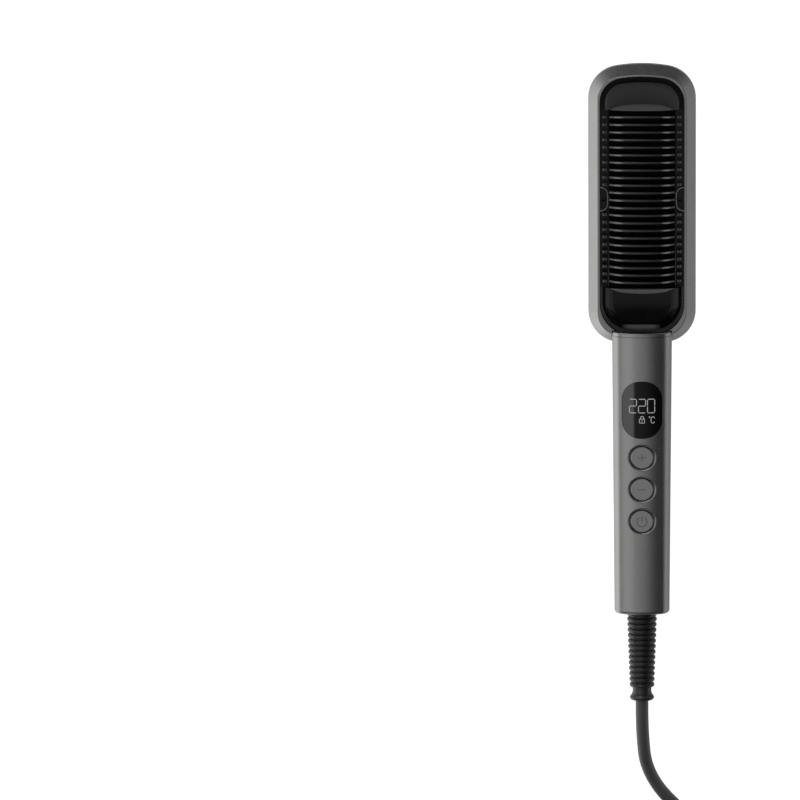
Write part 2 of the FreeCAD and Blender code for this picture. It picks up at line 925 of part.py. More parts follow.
end_y = f"(arch_radius * sin({row_angle(END_ROW)}) - fin_thickness / 2)"
bay = f"({end_y} - window_gap)"
plate = body("heating_plate")
on_arch(plate)
plate_top = "(arch_radius - fin_height)"
plate_edge = f"sqrt({plate_top}^2 - {bay}^2)"
plate_loop = [
    (bay, plate_edge),
    (f"-{bay}", plate_edge, plate_top, 1),
    (f"-{bay}", arch_z("plate_base")),
    (bay, arch_z("plate_base")),
]
pad(plate, "block", sketch(plate, "side", "YZ_Plane", [plate_loop]), "2 * plate_half", middle=True)
reach = f"({bay} + flange_reach)"
flange = sketch(
    plate,
    "flange_outline",
    "XY_Plane",
    [box_loop("-flange_half", "flange_half", f"-{reach}", reach)],
    offset=arch_z("plate_base"),
)
pad(plate, "flange", flange, "flange_top - plate_base")
notches = sketch(
    plate,
    "boss_notches",
    "XY_Plane",
    rings=[("-lug_hole_x", "0", "boss_radius + fit_gap"), ("lug_hole_x", "0", "boss_radius + fit_gap")],
    offset=arch_z("flange_top"),
)
pocket(plate, "boss_notch", notches, "flange_top - plate_base")
slot_loop = box_loop(
    "-flange_half", "flange_half", f"{plate_top} - fin_root - root_gap", f"{plate_top} + fin_root"
)
slot_sketch = sketch(plate, "slot_face", "XZ_Plane", [slot_loop], lean=-last_row)
slot = pocket(plate, "slot", slot_sketch, "fin_thickness + 2 * root_gap", middle=True)
fan(plate, "slot_fan", [slot], FIN_COUNT - 1)
web_foot = "-(fin_thickness / 2 + root_gap)"
webs = [
    [
        (f"{sign}web_middle + web_half", web_foot),
        (f"{sign}web_middle - web_half", web_foot),
        (f"{sign}web_middle", f"{web_foot} - web_reach"),
    ]
    for sign in ("-", "")
]
web_low = f"{plate_top} - fin_root"
web_sketch = sketch(plate, "web_outline", "XY_Plane", webs, offset=web_low, lean=-last_row)
web = pad(plate, "web", web_sketch, "web_height + fin_root")
fan(plate, "web_fan", [web], FIN_COUNT - 1)
plate_pilots = sketch(
    plate,
    "clamp_pilots",
    "XY_Plane",
    rings=[("0", f"{sign}clamp_screw_y", "screw_radius + thread_gap") for sign in ("-", "")],
    offset=arch_z("plate_base"),
)
clamp_drop = "(heater_depth + mica_depth + clamp_depth)"
pocket(plate, "clamp_pilot", plate_pilots, f"clamp_screw_length - {clamp_drop} + fit_gap", reverse=True)
nodes.append(plate)

# Guard rails: one toothed rail on each side of the fins, with a screw lug at its middle.
rail_top = "(arch_radius - crest_top + ledge_top + rail_rise)"
tooth_half = "((tooth_outer - tooth_inner) / 2)"
tooth_side = f"(arch_radius - tooth_drop - tooth_dome + sqrt(tooth_dome^2 - {tooth_half}^2))"
for side, sign in (("left", "-"), ("right", "")):
    rail = body(f"guard_rail_{side}")
    on_arch(rail)
    rail_edge = f"sqrt({rail_top}^2 - {bay}^2)"
    rail_loop = [
        (bay, rail_edge),
        (f"-{bay}", rail_edge, rail_top, 1),
        (f"-{bay}", arch_z("ledge_top")),
        (bay, arch_z("ledge_top")),
    ]
    low_x = "-rail_outer" if sign else "rail_inner"
    foot = sketch(rail, "rail_side", "YZ_Plane", [rail_loop], offset=low_x)
    pad(rail, "rail", foot, "rail_outer - rail_inner")
    near_x, far_x = ("-tooth_outer", "-tooth_inner") if sign else ("tooth_inner", "tooth_outer")
    tooth_loop = [
        (far_x, tooth_side),
        (near_x, tooth_side, "tooth_dome", 1),
        (near_x, f"{rail_top} - fin_root"),
        (far_x, f"{rail_top} - fin_root"),
    ]
    for label, row in (("upper", -last_row), ("lower", FIRST_TOOTH_ROW)):
        face = sketch(rail, f"{label}_tooth_face", "XZ_Plane", [tooth_loop], lean=row)
        tooth = pad(rail, f"{label}_tooth", face, "fin_thickness", middle=True)
        fan(rail, f"{label}_teeth", [tooth], TOOTH_COUNT - 1)

    def lug_loop(inset):
        """The lug's plan, moved inward from its free edges."""
        wide = f"{sign}rail_outer"
        shy = f"{sign}(rail_inner + lug_round)"
        narrow = f"{sign}(rail_inner + {inset})"
        half, corner, turn = f"(lug_half - {inset})", f"lug_round - {inset}", -1 if sign else 1
        return [
            (wide, half),
            (shy, half),
            (narrow, "lug_half - lug_round", corner, turn),
            (narrow, "lug_round - lug_half"),
            (shy, f"-{half}", corner, turn),
            (wide, f"-{half}"),
        ]

    lug = sketch(rail, "lug_outline", "XY_Plane", [lug_loop("0")], offset=arch_z("ledge_top"))
    pad(rail, "lug", lug, "lug_rise")
    lug_top = arch_z("ledge_top + lug_rise")

    def lug_edges(edge):
        box_of = edge.BoundBox
        return close(box_of.ZMin, lug_top) and close(box_of.ZMax, lug_top)

    round_edges(rail, "lug_edge", "lug_edge_round", lug_edges)
    face = sketch(rail, "lug_face", "XY_Plane", [lug_loop("lug_rim")], offset=lug_top)
    pocket(rail, "lug_face_recess", face, "lug_recess")
    spot = (f"{sign}lug_hole_x", "0")
    sink = sketch(rail, "lug_sink", "XY_Plane", rings=[(*spot, "lug_hole_radius")], offset=lug_top)
    pocket(rail, "lug_hole", sink, "lug_rise - lug_seat")
    shank = [(*spot, "lug_screw_radius + fit_gap")]
    through = sketch(rail, "lug_through", "XY_Plane", rings=shank, offset=lug_top)
    pocket(rail, "lug_shank_hole", through, "lug_rise")
    nodes.append(rail)

# Comb frame: the black moulding round the comb, with a raised cap and a ramp at each end.
frame = body("comb_frame")
ledge = sketch(
    frame,
    "ledge_outline",
    "XY_Plane",
    [
        opening_loop("fit_gap"),
        box_loop("-window_half", "window_half", f"{comb_y} - {end_y}", f"{comb_y} + {end_y}"),
    ],
    offset="ledge_base",
)
pad(frame, "ledge", ledge, "ledge_top - ledge_base")


def cap_loop(inset, tip, start):
    """The plan of an end cap, from the comb to the rounded end."""
    end = "tip" if tip else "heel"
    beside = opening_sizes(f"fit_gap + {end}_cap_side + ({inset})")
    beyond = opening_sizes(f"fit_gap + {end}_cap_end + ({inset})")
    half, corner, crown = beside["half"], beside[f"{end}_corner"], beyond[f"{end}_crown"]
    side, meet = end_points(half, beyond[end], corner, crown, 1 if tip else -1)
    turn = 1 if tip else -1
    return [
        (half, start),
        side,
        (*meet, corner, turn),
        (f"-({meet[0]})", meet[1], crown, turn),
        (f"-({side[0]})", side[1], corner, turn),
        (f"-({half})", start),
    ]


end_crest = f"(crest_top - arch_radius * (1 - cos({row_angle(END_ROW)})))"
for label, soft, wall in (("tip", "cap_round", "cap_wall"), ("heel", "heel_round", "heel_wall")):
    tip = label == "tip"
    way = "+" if tip else "-"
    start = f"({comb_y} {way} {end_y})"
    outline = [cap_loop("0", tip, start)]
    cap = sketch(frame, f"{label}_cap_outline", "XY_Plane", outline, offset="ledge_base")
    pad(frame, f"{label}_cap", cap, "cap_top - ledge_base")

    def cap_edges(edge):
        box_of = edge.BoundBox
        at_top = close(box_of.ZMin, "cap_top") and close(box_of.ZMax, "cap_top")
        here = (box_of.YMin > val(comb_y)) == tip
        inner = close(box_of.YMin, start) and close(box_of.YMax, start)
        return at_top and here and not inner

    round_edges(frame, f"{label}_cap_edge", soft, cap_edges)
    high, high_end = crest_path(end_crest, "fin_half")
    low, low_end = crest_path("(cap_top - fit_gap)", "fin_half")
    loops = [
        [("fin_half", last), *path, ("-fin_half", "ledge_base"), ("fin_half", "ledge_base")]
        for path, last in ((high, high_end), (low, low_end))
    ]
    near = sketch(frame, f"{label}_ramp_top", "XZ_Plane", [loops[0]], offset=f"-({start})")
    far = sketch(frame, f"{label}_ramp_foot", "XZ_Plane", [loops[1]], offset=f"-({start} {way} ramp_reach)")
    loft(frame, f"{label}_ramp", near, far)
    inner_start = f"({start} {way} cap_wall)"
    hollow = sketch(
        frame, f"{label}_hollow", "XY_Plane", [cap_loop(wall, tip, inner_start)], offset="ledge_base"
    )
    pocket(frame, f"{label}_cap_hollow", hollow, "cap_top - ledge_base - cap_wall", reverse=True)
lug_through = sketch(
    frame,
    "lug_screw_holes",
    "XY_Plane",
    rings=[(x, y, "lug_screw_radius + fit_gap") for x, y in lug_spots],
    offset="ledge_top",
)
pocket(frame, "lug_screw_hole", lug_through, "ledge_top - ledge_base")
nodes.append(frame)
nodes.append(
    screw_group(
        "lug_screws",
        lug_spots,
        "ledge_top + lug_seat",
        "lug_seat + ledge_top - ledge_base + frame_screw_length - fit_gap",
        False,
        ("lug_screw_head", "lug_screw_depth", "lug_screw_radius"),
    )
)

# Heater stack under the plate: ceramic element, mica sheet and clamp, with the sensor and fuse beside it.
layers = [
    ("ceramic_heater", "heater_half", "heater_length", "heater_depth", "plate_base - heater_depth"),
    ("mica_sheet", "mica_half", "mica_length", "mica_depth", "plate_base - heater_depth - mica_depth"),
]
for label, half, length, depth, low in layers:
    nodes.append(box(label, (f"2 * {half}", length, depth), (f"-{half}", f"{comb_y} - {length} / 2", low)))
clamp = body("heater_clamp")
clamp_ends = (f"{comb_y} - clamp_length / 2", f"{comb_y} + clamp_length / 2")
clamp_loop = box_loop("-clamp_half", "clamp_half", *clamp_ends)
clamp_spots = [("0", f"{comb_y} - clamp_screw_y"), ("0", f"{comb_y} + clamp_screw_y")]
clamp_outline = sketch(
    clamp,
    "clamp_outline",
    "XY_Plane",
    [clamp_loop],
    [(x, y, "screw_radius + fit_gap") for x, y in clamp_spots],
    offset=f"plate_base - {clamp_drop}",
)
pad(clamp, "clamp", clamp_outline, "clamp_depth")
nodes.append(clamp)
clamp_seat = f"plate_base - {clamp_drop}"
nodes.append(screw_group("clamp_screws", clamp_spots, clamp_seat, "clamp_screw_length", True))
along = V(0, 1, 0)
nodes.append(
    rod(
        "temperature_sensor",
        "sensor_radius",
        "sensor_length",
        ("-sensor_x", f"{comb_y} - sensor_length / 2", "plate_base - sensor_radius - root_gap"),
        along,
    )
)
nodes.append(
    rod(
        "thermal_fuse",
        "fuse_radius",
        "fuse_length",
        ("sensor_x", f"{comb_y} - fuse_length / 2", "plate_base - fuse_radius - root_gap"),
        along,
    )
)

# Display, board and its screws.
lens = body("display_lens")
lens_top, lens_low = "window_y + window_length", "window_y - window_length"
loft(lens, "skin", handle_sketch(lens, "skin_top", lens_top), handle_sketch(lens, "skin_low", lens_low))
loft(
    lens,
    "skin_hollow",
    handle_sketch(lens, "hollow_top", lens_top, "lens_depth"),
    handle_sketch(lens, "hollow_low", lens_low, "lens_depth"),
    cut=True,
)
trim_ends = ("window_y - 2 * window_length", "window_y + 2 * window_length")
trim = sketch(
    lens,
    "trim",
    "XY_Plane",
    [
        box_loop("-handle_width", "handle_width", *trim_ends),
        window_loop("-fit_gap / 2"),
    ],
    offset="handle_depth",
)
pocket(lens, "lens_outline", trim)
nodes.append(lens)

board = body("control_board")
board_sketch = sketch(
    board,
    "board_outline",
    "XY_Plane",
    [rounded_loop("-board_half", "board_half", "board_foot", "board_head", "board_corner")],
    [(x, y, "screw_radius + fit_gap") for x, y in board_spots],
    offset="board_top - board_depth",
)
pad(board, "board", board_sketch, "board_depth")
nodes.append(board)
board_seat = "board_top - board_depth"
nodes.append(screw_group("board_screws", board_spots, board_seat, "board_screw_length", True))
nodes.append(
    screw_group("cover_screws", cover_top_spot + cover_low_spots, "rear_seat", "cover_screw_length", True)
)
display = body("display_module")
display_sketch = sketch(
    display,
    "display_outline",
    "XY_Plane",
    [
        rounded_loop(
            "-display_half",
            "display_half",
            "window_y - display_length / 2",
            "window_y + display_length / 2",
            "display_round",
        )
    ],
    offset="board_top",
)
pad(display, "display", display_sketch, "display_top - board_top")
nodes.append(display)

# Buttons: three caps that slide in the cover, each on the plunger of its own switch.
switch_top = "(board_top + switch_height)"
plunger_top = f"({switch_top} + plunger_rise)"
for name, y in zip(BUTTONS, button_ys):
    button = body(f"{name}_button")
    button.setExpression("Placement.Base.y", ex(y))
    low_flange = "button_flange_top - button_flange_depth"
    cap_side = "button_top - button_edge_round"
    profile = [
        ("stem_radius", plunger_top),
        ("stem_radius", low_flange),
        ("flange_radius", low_flange),
        ("flange_radius", "button_flange_top"),
        ("button_radius", "button_flange_top"),
        ("button_radius", cap_side),
        ("button_radius - button_edge_round", "button_top", "button_edge_round", 1),
        ("0", "button_top"),
        ("0", plunger_top),
    ]
    turn_about(button, "cap", sketch(button, "cap_profile", "XZ_Plane", [profile]), "V_Axis")
    nodes.append(button)
    plunger = rod(
        f"{name}_plunger",
        "plunger_radius",
        "plunger_rise + plunger_sink",
        ("0", y, f"{switch_top} - plunger_sink"),
        V(0, 0, 1),
    )
    nodes.append(plunger)
switches = body("tact_switches")
switch_loops = [
    box_loop("-switch_half", "switch_half", f"{y} - switch_half", f"{y} + switch_half") for y in button_ys
]
squares = sketch(switches, "squares", "XY_Plane", switch_loops, offset="board_top")
pad(switches, "bodies", squares, "switch_height")
wells = sketch(
    switches,
    "wells",
    "XY_Plane",
    rings=[("0", y, "plunger_radius + fit_gap") for y in button_ys],
    offset=switch_top,
)
pocket(switches, "plunger_wells", wells, "plunger_sink + button_travel + slide_gap")
nodes.append(switches)

# Cord swivel in the handle's end: collar and spindle turn in a bearing, spring fingers feed two slip rings.
collar_start = "(handle_end + end_wall + slide_gap)"
collar_end = f"({collar_start} + collar_depth)"
bearing_start = f"({collar_end} + slide_gap)"
bearing_end = f"({bearing_start} + bearing_depth)"


def on_axis(owner):
    """Puts a body's origin on the cord's axis."""
    owner.setExpression("Placement.Base.z", ex(split_z))
    doc.recompute()


core = body("swivel_core")
on_axis(core)
core_loop = [
    ("spindle_end", "spindle_radius"),
    (collar_end, "spindle_radius"),
    (collar_end, "collar_radius"),
    (collar_start, "collar_radius"),
    (collar_start, "0"),
    ("spindle_end", "0"),
]
turn_about(core, "core", sketch(core, "core_profile", "YZ_Plane", [core_loop]), "H_Axis")
nodes.append(core)
rings_body = body("slip_rings")
on_axis(rings_body)
ring_starts = ["ring_first_y", "(ring_first_y + ring_pitch)"]
ring_loops = [box_loop(s, f"{s} + ring_width", "spindle_radius", "ring_radius") for s in ring_starts]
turn_about(rings_body, "rings", sketch(rings_body, "ring_profiles", "YZ_Plane", ring_loops), "H_Axis")
nodes.append(rings_body)
bearing = body("swivel_bearing")
bearing_loop = handle_loop("handle_end + end_wall", "handle_wall + fit_gap", True, True)
bearing_sketch = sketch(
    bearing,
    "bearing_outline",
    "XZ_Plane",
    [bearing_loop],
    [("0", split_z, "spindle_radius + swivel_fit")],
    offset=f"-{bearing_start}",
)
pad(bearing, "plate", bearing_sketch, "bearing_depth", reverse=True)
nodes.append(bearing)
springs = body("contact_springs")
on_axis(springs)
foot_low = "(ring_radius + spring_gap)"
arm_low = f"({foot_low} + spring_rise)"
arm_top = f"({arm_low} + spring_depth)"
for sign, s in zip(("-", ""), ring_starts):
    toe = f"({s} + ring_width)"
    spring_loop = [
        (bearing_end, arm_top),
        (bearing_end, arm_low),
        (f"{toe} - ring_width / 2", arm_low),
        (f"{toe} - ring_width / 2", foot_low),
        (toe, foot_low),
        (toe, arm_top),
    ]
    x = f"{sign}mains_wire_x - spring_half"
    finger = sketch(springs, "finger_profile", "YZ_Plane", [spring_loop], offset=x)
    pad(springs, "finger", finger, "2 * spring_half")
nodes.append(springs)

# Ribbed strain relief on the swivel.
relief = body("strain_relief")
on_axis(relief)
sag = "(rib_crown - sqrt(rib_crown^2 - (rib_width / 2)^2))"
relief_loop = [(collar_start, "0"), (collar_start, "relief_neck")]
before = "relief_neck"
for k in range(RIB_COUNT):
    middle = f"(rib_first_y - {k} * rib_pitch)"
    crown = f"(rib_first_radius - (rib_first_radius - rib_last_radius) * {k} / {RIB_COUNT - 1})"
    valley = f"({crown} - rib_height)"
    relief_loop += [
        (f"{middle} + rib_width / 2", before if k == 0 else valley),
        (f"{middle} + rib_width / 2", f"{crown} - {sag}"),
        (f"{middle} - rib_width / 2", f"{crown} - {sag}", "rib_crown", 1),
        (f"{middle} - rib_width / 2", valley),
    ]
relief_loop += [
    ("neck_y", "neck_radius"),
    ("flare_y", "flare_radius", "flare_bend", -1),
    ("relief_end", "relief_end_radius", "flare_round", 1),
    ("relief_end", "0"),
]
turn_about(relief, "relief", sketch(relief, "relief_profile", "YZ_Plane", [relief_loop]), "H_Axis")
nodes.append(relief)


def soft_path(points, shares):
    """Straight runs joined by tangent arcs. Returns the wire, its least bend radius and its length."""
    edges, at, radii = [], points[0], []
    for before, corner, after in zip(points, points[1:], points[2:]):
        into, out = corner - before, after - corner
        turn = into.getAngle(out)
        reach = shares * min(into.Length, out.Length)
        radii.append(reach / math.tan(turn / 2))
        start = corner - V(into).normalize() * reach
        end = corner + V(out).normalize() * reach
        bisector = (V(out).normalize() - V(into).normalize()).normalize()
        depth = radii[-1] / math.cos(turn / 2) - radii[-1]
        edges.append(Part.LineSegment(at, start).toShape())
        edges.append(Part.Arc(start, corner + bisector * depth, end).toShape())
        at = end
    edges.append(Part.LineSegment(at, points[-1]).toShape())
    wire = Part.Wire(edges)
    return wire, min(radii), wire.Length


BEND_SHARE = 0.45


def tube(wire, start, heading, radius):
    """A round tube along a wire, checked against its section times its length."""
    profile = Part.Wire([Part.makeCircle(radius, start, heading)])
    solid = wire.makePipeShell([profile], True, False)
    expected = math.pi * radius**2 * wire.Length
    if abs(solid.Volume - expected) > expected / 50:
        raise RuntimeError(f"tube volume {solid.Volume:.1f}, expected {expected:.1f}")
    return solid


def soft_node(label, shape):
    made = doc.addObject("Part::Feature", label)
    made.Label = label
    made.Shape = shape
    made.Placement = FreeCAD.Placement(V(0, 0, 0), FreeCAD.Rotation())
    nodes.append(made)
    return made


# Wires inside: from the heater's end to the board, and from the spring fingers to the board's far end.
def wires(label, routes):
    radius = val("wire_radius")
    solids = []
    for points in routes:
        wire, tightest, _ = soft_path(points, BEND_SHARE)
        print(f"{label} tightest bend {tightest:.1f}")
        solids.append(tube(wire, points[0], points[1] - points[0], radius))
    soft_node(label, Part.makeCompound(solids))


board_z = val("board_top - board_depth / 2")
heater_z = val("plate_base - heater_depth / 2")
heater_foot = val(f"{comb_y} - heater_length / 2")
bend = val("wire_bend")
head_y = val("board_head")
wires(
    "heater_leads",
    [
        [
            V(x, heater_foot, heater_z),
            V(x, head_y + 2 * bend, heater_z),
            V(x, head_y + bend, board_z),
            V(x, head_y, board_z),
        ]
        for x in (-val("wire_x"), val("wire_x"))
    ],
)
bend = val("mains_wire_bend")
arm_z = val(f"{split_z} + {arm_low} + spring_depth / 2")
foot_y = val("board_foot")
wires(
    "mains_leads",
    [
        [
            V(x, val(f"{s} + ring_width"), arm_z),
            V(x, val(f"{s} + ring_width") + bend, arm_z),
            V(x, foot_y - bend, board_z),
            V(x, foot_y, board_z),
        ]
        for x, s in zip((-val("mains_wire_x"), val("mains_wire_x")), ring_starts)
    ],
)

# Mains cord: a free run to a tied hank of four layers, in line with the handle, and a short tail to the plug.
cord_radius = val("cord_diameter / 2")
run_half = val("hank_run / 2")
layers = [val(f"hank_lift + cord_diameter / 2 + {k} * layer_step") for k in range(HANK_LAYERS)]
wide, narrow, left = val("hank_wide"), val("hank_wide - hank_step"), val("hank_wide - hank_step / 2")
waist = val("hank_waist")
DOWN, UP, LEFT, RIGHT = V(0, -1, 0), V(0, 1, 0), V(-1, 0, 0), V(1, 0, 0)


def in_hank(x, y, z):
    return V(val("hank_x") + x, val("hank_y") + y, z)


def hank_side(x, first_z, last_z, way):
    """One run of the hank, drawn in at its waist, which may climb a layer."""
    middle = x - math.copysign(waist, x)
    return [
        (in_hank(x, -way.y * run_half, first_z), way),
        (in_hank(middle, 0, (first_z + last_z) / 2), way),
        (in_hank(x, way.y * run_half, last_z), way),
    ]


def hank_stops():
    """Places and headings along the hank: in and out again, climbing a layer along each right run."""
    turn_x, turn_radius = (narrow - left) / 2, (narrow + left) / 2 + val("hank_step")
    slant = V(1, -1, 0).normalize()
    made = [(in_hank(turn_x + turn_radius * slant.x, run_half + turn_radius * slant.x, layers[0]), slant)]
    rights = [wide if k % 2 == 0 else narrow for k in range(HANK_LAYERS + 1)]
    for k, x in enumerate(rights):
        first_z, last_z = layers[max(k - 1, 0)], layers[min(k, HANK_LAYERS - 1)]
        made += hank_side(x, first_z, last_z, DOWN)
        if k == HANK_LAYERS:
            return made
        made.append((in_hank((x - left) / 2, -run_half - (x + left) / 2, last_z), LEFT))
        made += hank_side(-left, last_z, last_z, UP)
        after = rights[k + 1]
        made.append((in_hank((after - left) / 2, run_half + (after + left) / 2, last_z), RIGHT))


def biarc(start, heading, end, end_heading):
    """Two tangent arcs between two points with given headings."""
    v, t = end - start, heading + end_heading
    k = 2 * (1 - heading.dot(end_heading))
    if k < 1e-9:
        d = v.dot(v) / (2 * v.dot(t))
    else:
        d = (-v.dot(t) + math.sqrt(v.dot(t) ** 2 + k * v.dot(v))) / k
    first, last = start + heading * d, end - end_heading * d
    joint = (first + last) / 2
    arcs = []
    for a, corner, b in ((start, first, joint), (joint, last, end)):
        into, out = V(corner - a).normalize(), V(b - corner).normalize()
        turn = into.getAngle(out)
        radius = (corner - a).Length / math.tan(turn / 2)
        depth = radius / math.cos(turn / 2) - radius
        arcs.append(Part.Arc(a, corner + (out - into).normalize() * depth, b).toShape())
    return arcs


stops = hank_stops()
(hank_start, start_way), (hank_end, end_way) = stops[0], stops[-1]
lead_in = hank_start - start_way * val("cord_diameter")
lead_out = hank_end + end_way * val("cord_diameter")
hank_edges = [Part.LineSegment(lead_in, hank_start).toShape()]
for (a, a_way), (b, b_way) in zip(stops, stops[1:]):
    hank_edges += biarc(a, a_way, b, b_way)
hank_edges.append(Part.LineSegment(hank_end, lead_out).toShape())
hank_wire = Part.Wire(hank_edges)
run_points = [
    V(0, val("relief_end"), val(split_z)),
    V(0, val("run_a_y"), val(split_z)),
    V(val("run_b_x"), val("run_b_y"), val("run_b_z")),
    V(val("run_c_x"), val("run_c_y"), val("run_c_z")),
    lead_in - start_way * val("run_last"),
    lead_in,
]
plug_z = val("plug_depth / 2")
tail_points = [
    lead_out,
    V(lead_out.x, val("tail_a_y"), lead_out.z),
    V(val("tail_b_x"), val("tail_b_y"), val("tail_b_z")),
    V(val("tail_c_x"), val("tail_c_y"), val("tail_c_z")),
    V(val("tail_d_x"), val("tail_d_y"), val("tail_d_z")),
    V(val("tail_e_x"), val("tail_e_y"), plug_z),
    V(val("tail_e_x"), val("tail_e_y - tail_last"), plug_z),
]
run_wire, run_bend, run_length = soft_path(run_points, BEND_SHARE)
tail_wire, tail_bend, tail_length = soft_path(tail_points, BEND_SHARE)
samples = [p for edge in hank_edges for p in edge.discretize(12)[:-1]]
gap = min(
    samples[i].distanceToPoint(samples[j])
    for i in range(len(samples))
    for j in range(i + 40, len(samples))
) - val("cord_diameter")
fold = min(edge.Curve.Radius for edge in hank_edges[1:-1])
total = run_length + hank_wire.Length + tail_length
print(f"cord bends: run {run_bend:.1f}, tail {tail_bend:.1f}, hank {fold:.1f}; cord length {total:.0f}")
print(f"hank least gap to itself {gap:.2f}")
soft_node("cord_run", tube(run_wire, run_points[0], run_points[1] - run_points[0], cord_radius))
soft_node("cord_coil", tube(hank_wire, lead_in, start_way, cord_radius))
soft_node("cord_tail", tube(tail_wire, tail_points[0], tail_points[1] - tail_points[0], cord_radius))

# Tie round the hank's waist.
tie = body("cord_tie")
tie.setExpression("Placement.Base.y", ex("hank_y"))
around = "(cord_diameter / 2 + tie_gap)"
tie_loops = [
    rounded_loop(
        f"(hank_x - hank_wide + hank_step / 2 + hank_waist - {around} - {grow})",
        f"(hank_x + hank_wide - hank_waist + {around} + {grow})",
        f"(hank_lift - tie_gap - {grow})",
        f"(hank_lift + cord_diameter + {HANK_LAYERS - 1} * layer_step + tie_gap + {grow})",
        f"(tie_round + {grow})",
    )
    for grow in ("tie_depth", "0")
]
pad(tie, "band", sketch(tie, "band_section", "XZ_Plane", tie_loops), "tie_width", middle=True)
nodes.append(tie)

# Plug: flat two-pin body with a tapered neck, lying in line with the cord's tail.
plug_spin = math.degrees(math.atan2(-end_way.x, end_way.y))
plug_at = FreeCAD.Placement(tail_points[-1], FreeCAD.Rotation(V(0, 0, 1), plug_spin))
neck = "plug_neck_length"
plug = body("plug_body")
plug.Placement = plug_at
plug_loop = [
    ("plug_half", f"{neck} + plug_shoulder"),
    ("plug_half", f"{neck} + plug_length - plug_shoulder / 2"),
    ("plug_front_half", f"{neck} + plug_length"),
    ("-plug_front_half", f"{neck} + plug_length"),
    ("-plug_half", f"{neck} + plug_length - plug_shoulder / 2"),
    ("-plug_half", f"{neck} + plug_shoulder"),
    ("-plug_back_half", neck),
    ("plug_back_half", neck),
]
pad(plug, "grip", sketch(plug, "grip_outline", "XY_Plane", [plug_loop]), "plug_depth", middle=True)


def plug_edges(edge):
    """Every outer edge of the grip but those of its front face."""
    return not (close(edge.BoundBox.YMin, f"{neck} + plug_length"))


round_edges(plug, "grip_edge", "plug_edge_round", plug_edges)
neck_loop = [
    ("plug_neck_end_radius", "0"),
    ("plug_neck_radius", f"{neck} + plug_edge_round"),
    ("0", f"{neck} + plug_edge_round"),
    ("0", "0"),
]
turn_about(plug, "neck", sketch(plug, "neck_profile", "XY_Plane", [neck_loop]), "V_Axis")
nodes.append(plug)
pins = body("plug_pins")
pins.Placement = plug_at
pin_sketch = sketch(
    pins,
    "pin_rings",
    "XZ_Plane",
    rings=[("-pin_x", "0", "pin_radius"), ("pin_x", "0", "pin_radius")],
    offset=f"-({neck} + plug_length)",
)
pad(pins, "pins", pin_sketch, "pin_length", reverse=True)
tip_y = f"{neck} + plug_length + pin_length"
round_edges(pins, "pin_tips", "pin_round", lambda edge: close(edge.BoundBox.YMin, tip_y))
nodes.append(pins)

doc.recompute()
os.makedirs("parts", exist_ok=True)
for thing in doc.Objects:
    if any(word in thing.State for word in ("Invalid", "Error")):
        raise RuntimeError(f"{thing.Label} is {thing.State}")
for node in nodes:
    shape = node.Shape
    if shape.isNull() or not shape.isValid() or not shape.Solids:
        raise RuntimeError(f"{node.Label} has no valid solid")
    shape.exportStep(f"parts/{node.Label}.step")
    size = shape.BoundBox
    spans = [(size.XMin, size.XMax), (size.YMin, size.YMax), (size.ZMin, size.ZMax)]
    reach = ", ".join(f"{low:.1f} to {high:.1f}" for low, high in spans)
    print(f"{node.Label}: {len(shape.Solids)} solids, {shape.Volume:.0f} mm3, {reach}")
print(f"{len(nodes)} nodes")
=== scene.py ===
import math

import bmesh
import bpy
from mathutils import Euler, Matrix, Vector


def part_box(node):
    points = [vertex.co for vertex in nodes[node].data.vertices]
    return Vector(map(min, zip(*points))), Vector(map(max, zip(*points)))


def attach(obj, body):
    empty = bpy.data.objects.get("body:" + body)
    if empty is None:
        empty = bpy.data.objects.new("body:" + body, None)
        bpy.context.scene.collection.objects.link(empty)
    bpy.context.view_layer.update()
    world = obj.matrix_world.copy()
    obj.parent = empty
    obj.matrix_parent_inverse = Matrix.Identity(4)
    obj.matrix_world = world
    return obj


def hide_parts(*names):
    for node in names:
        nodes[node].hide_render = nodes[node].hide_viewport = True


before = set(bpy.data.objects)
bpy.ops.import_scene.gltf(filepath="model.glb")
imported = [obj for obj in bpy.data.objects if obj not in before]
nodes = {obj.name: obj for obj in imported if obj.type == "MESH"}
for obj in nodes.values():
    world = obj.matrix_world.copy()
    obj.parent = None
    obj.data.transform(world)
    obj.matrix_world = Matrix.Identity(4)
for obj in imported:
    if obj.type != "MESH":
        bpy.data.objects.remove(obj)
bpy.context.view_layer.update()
scene = bpy.context.scene
MM = 0.001


def shader(name):
    """An empty material, its tree and its shader."""
    made = bpy.data.materials.new(name)
    made.use_nodes = True
    tree = made.node_tree
    tree.nodes.clear()
    out = tree.nodes.new("ShaderNodeOutputMaterial")
    bsdf = tree.nodes.new("ShaderNodeBsdfPrincipled")
    tree.links.new(bsdf.outputs["BSDF"], out.inputs["Surface"])
    return made, tree, bsdf


def noise(tree, scale, detail=2.0, stretch=None):
    """Noise in the part's own frame, per metre, drawn out along an axis where stretch is given."""
    where = tree.nodes.new("ShaderNodeTexCoord").outputs["Object"]
    if stretch:
        drawn = tree.nodes.new("ShaderNodeMapping")
        drawn.inputs["Scale"].default_value = stretch
        tree.links.new(where, drawn.inputs["Vector"])
        where = drawn.outputs["Vector"]
    made = tree.nodes.new("ShaderNodeTexNoise")
    made.inputs["Scale"].default_value = scale
    made.inputs["Detail"].default_value = detail
    tree.links.new(where, made.inputs["Vector"])
    return made.outputs["Fac"]


def spread(tree, value, low, high, start=0.3, end=0.7):
    """A value between start and end, spread over another range."""
    made = tree.nodes.new("ShaderNodeMapRange")
    for socket, limit in (("From Min", start), ("From Max", end), ("To Min", low), ("To Max", high)):
        made.inputs[socket].default_value = limit
    tree.links.new(value, made.inputs["Value"])
    return made.outputs["Result"]


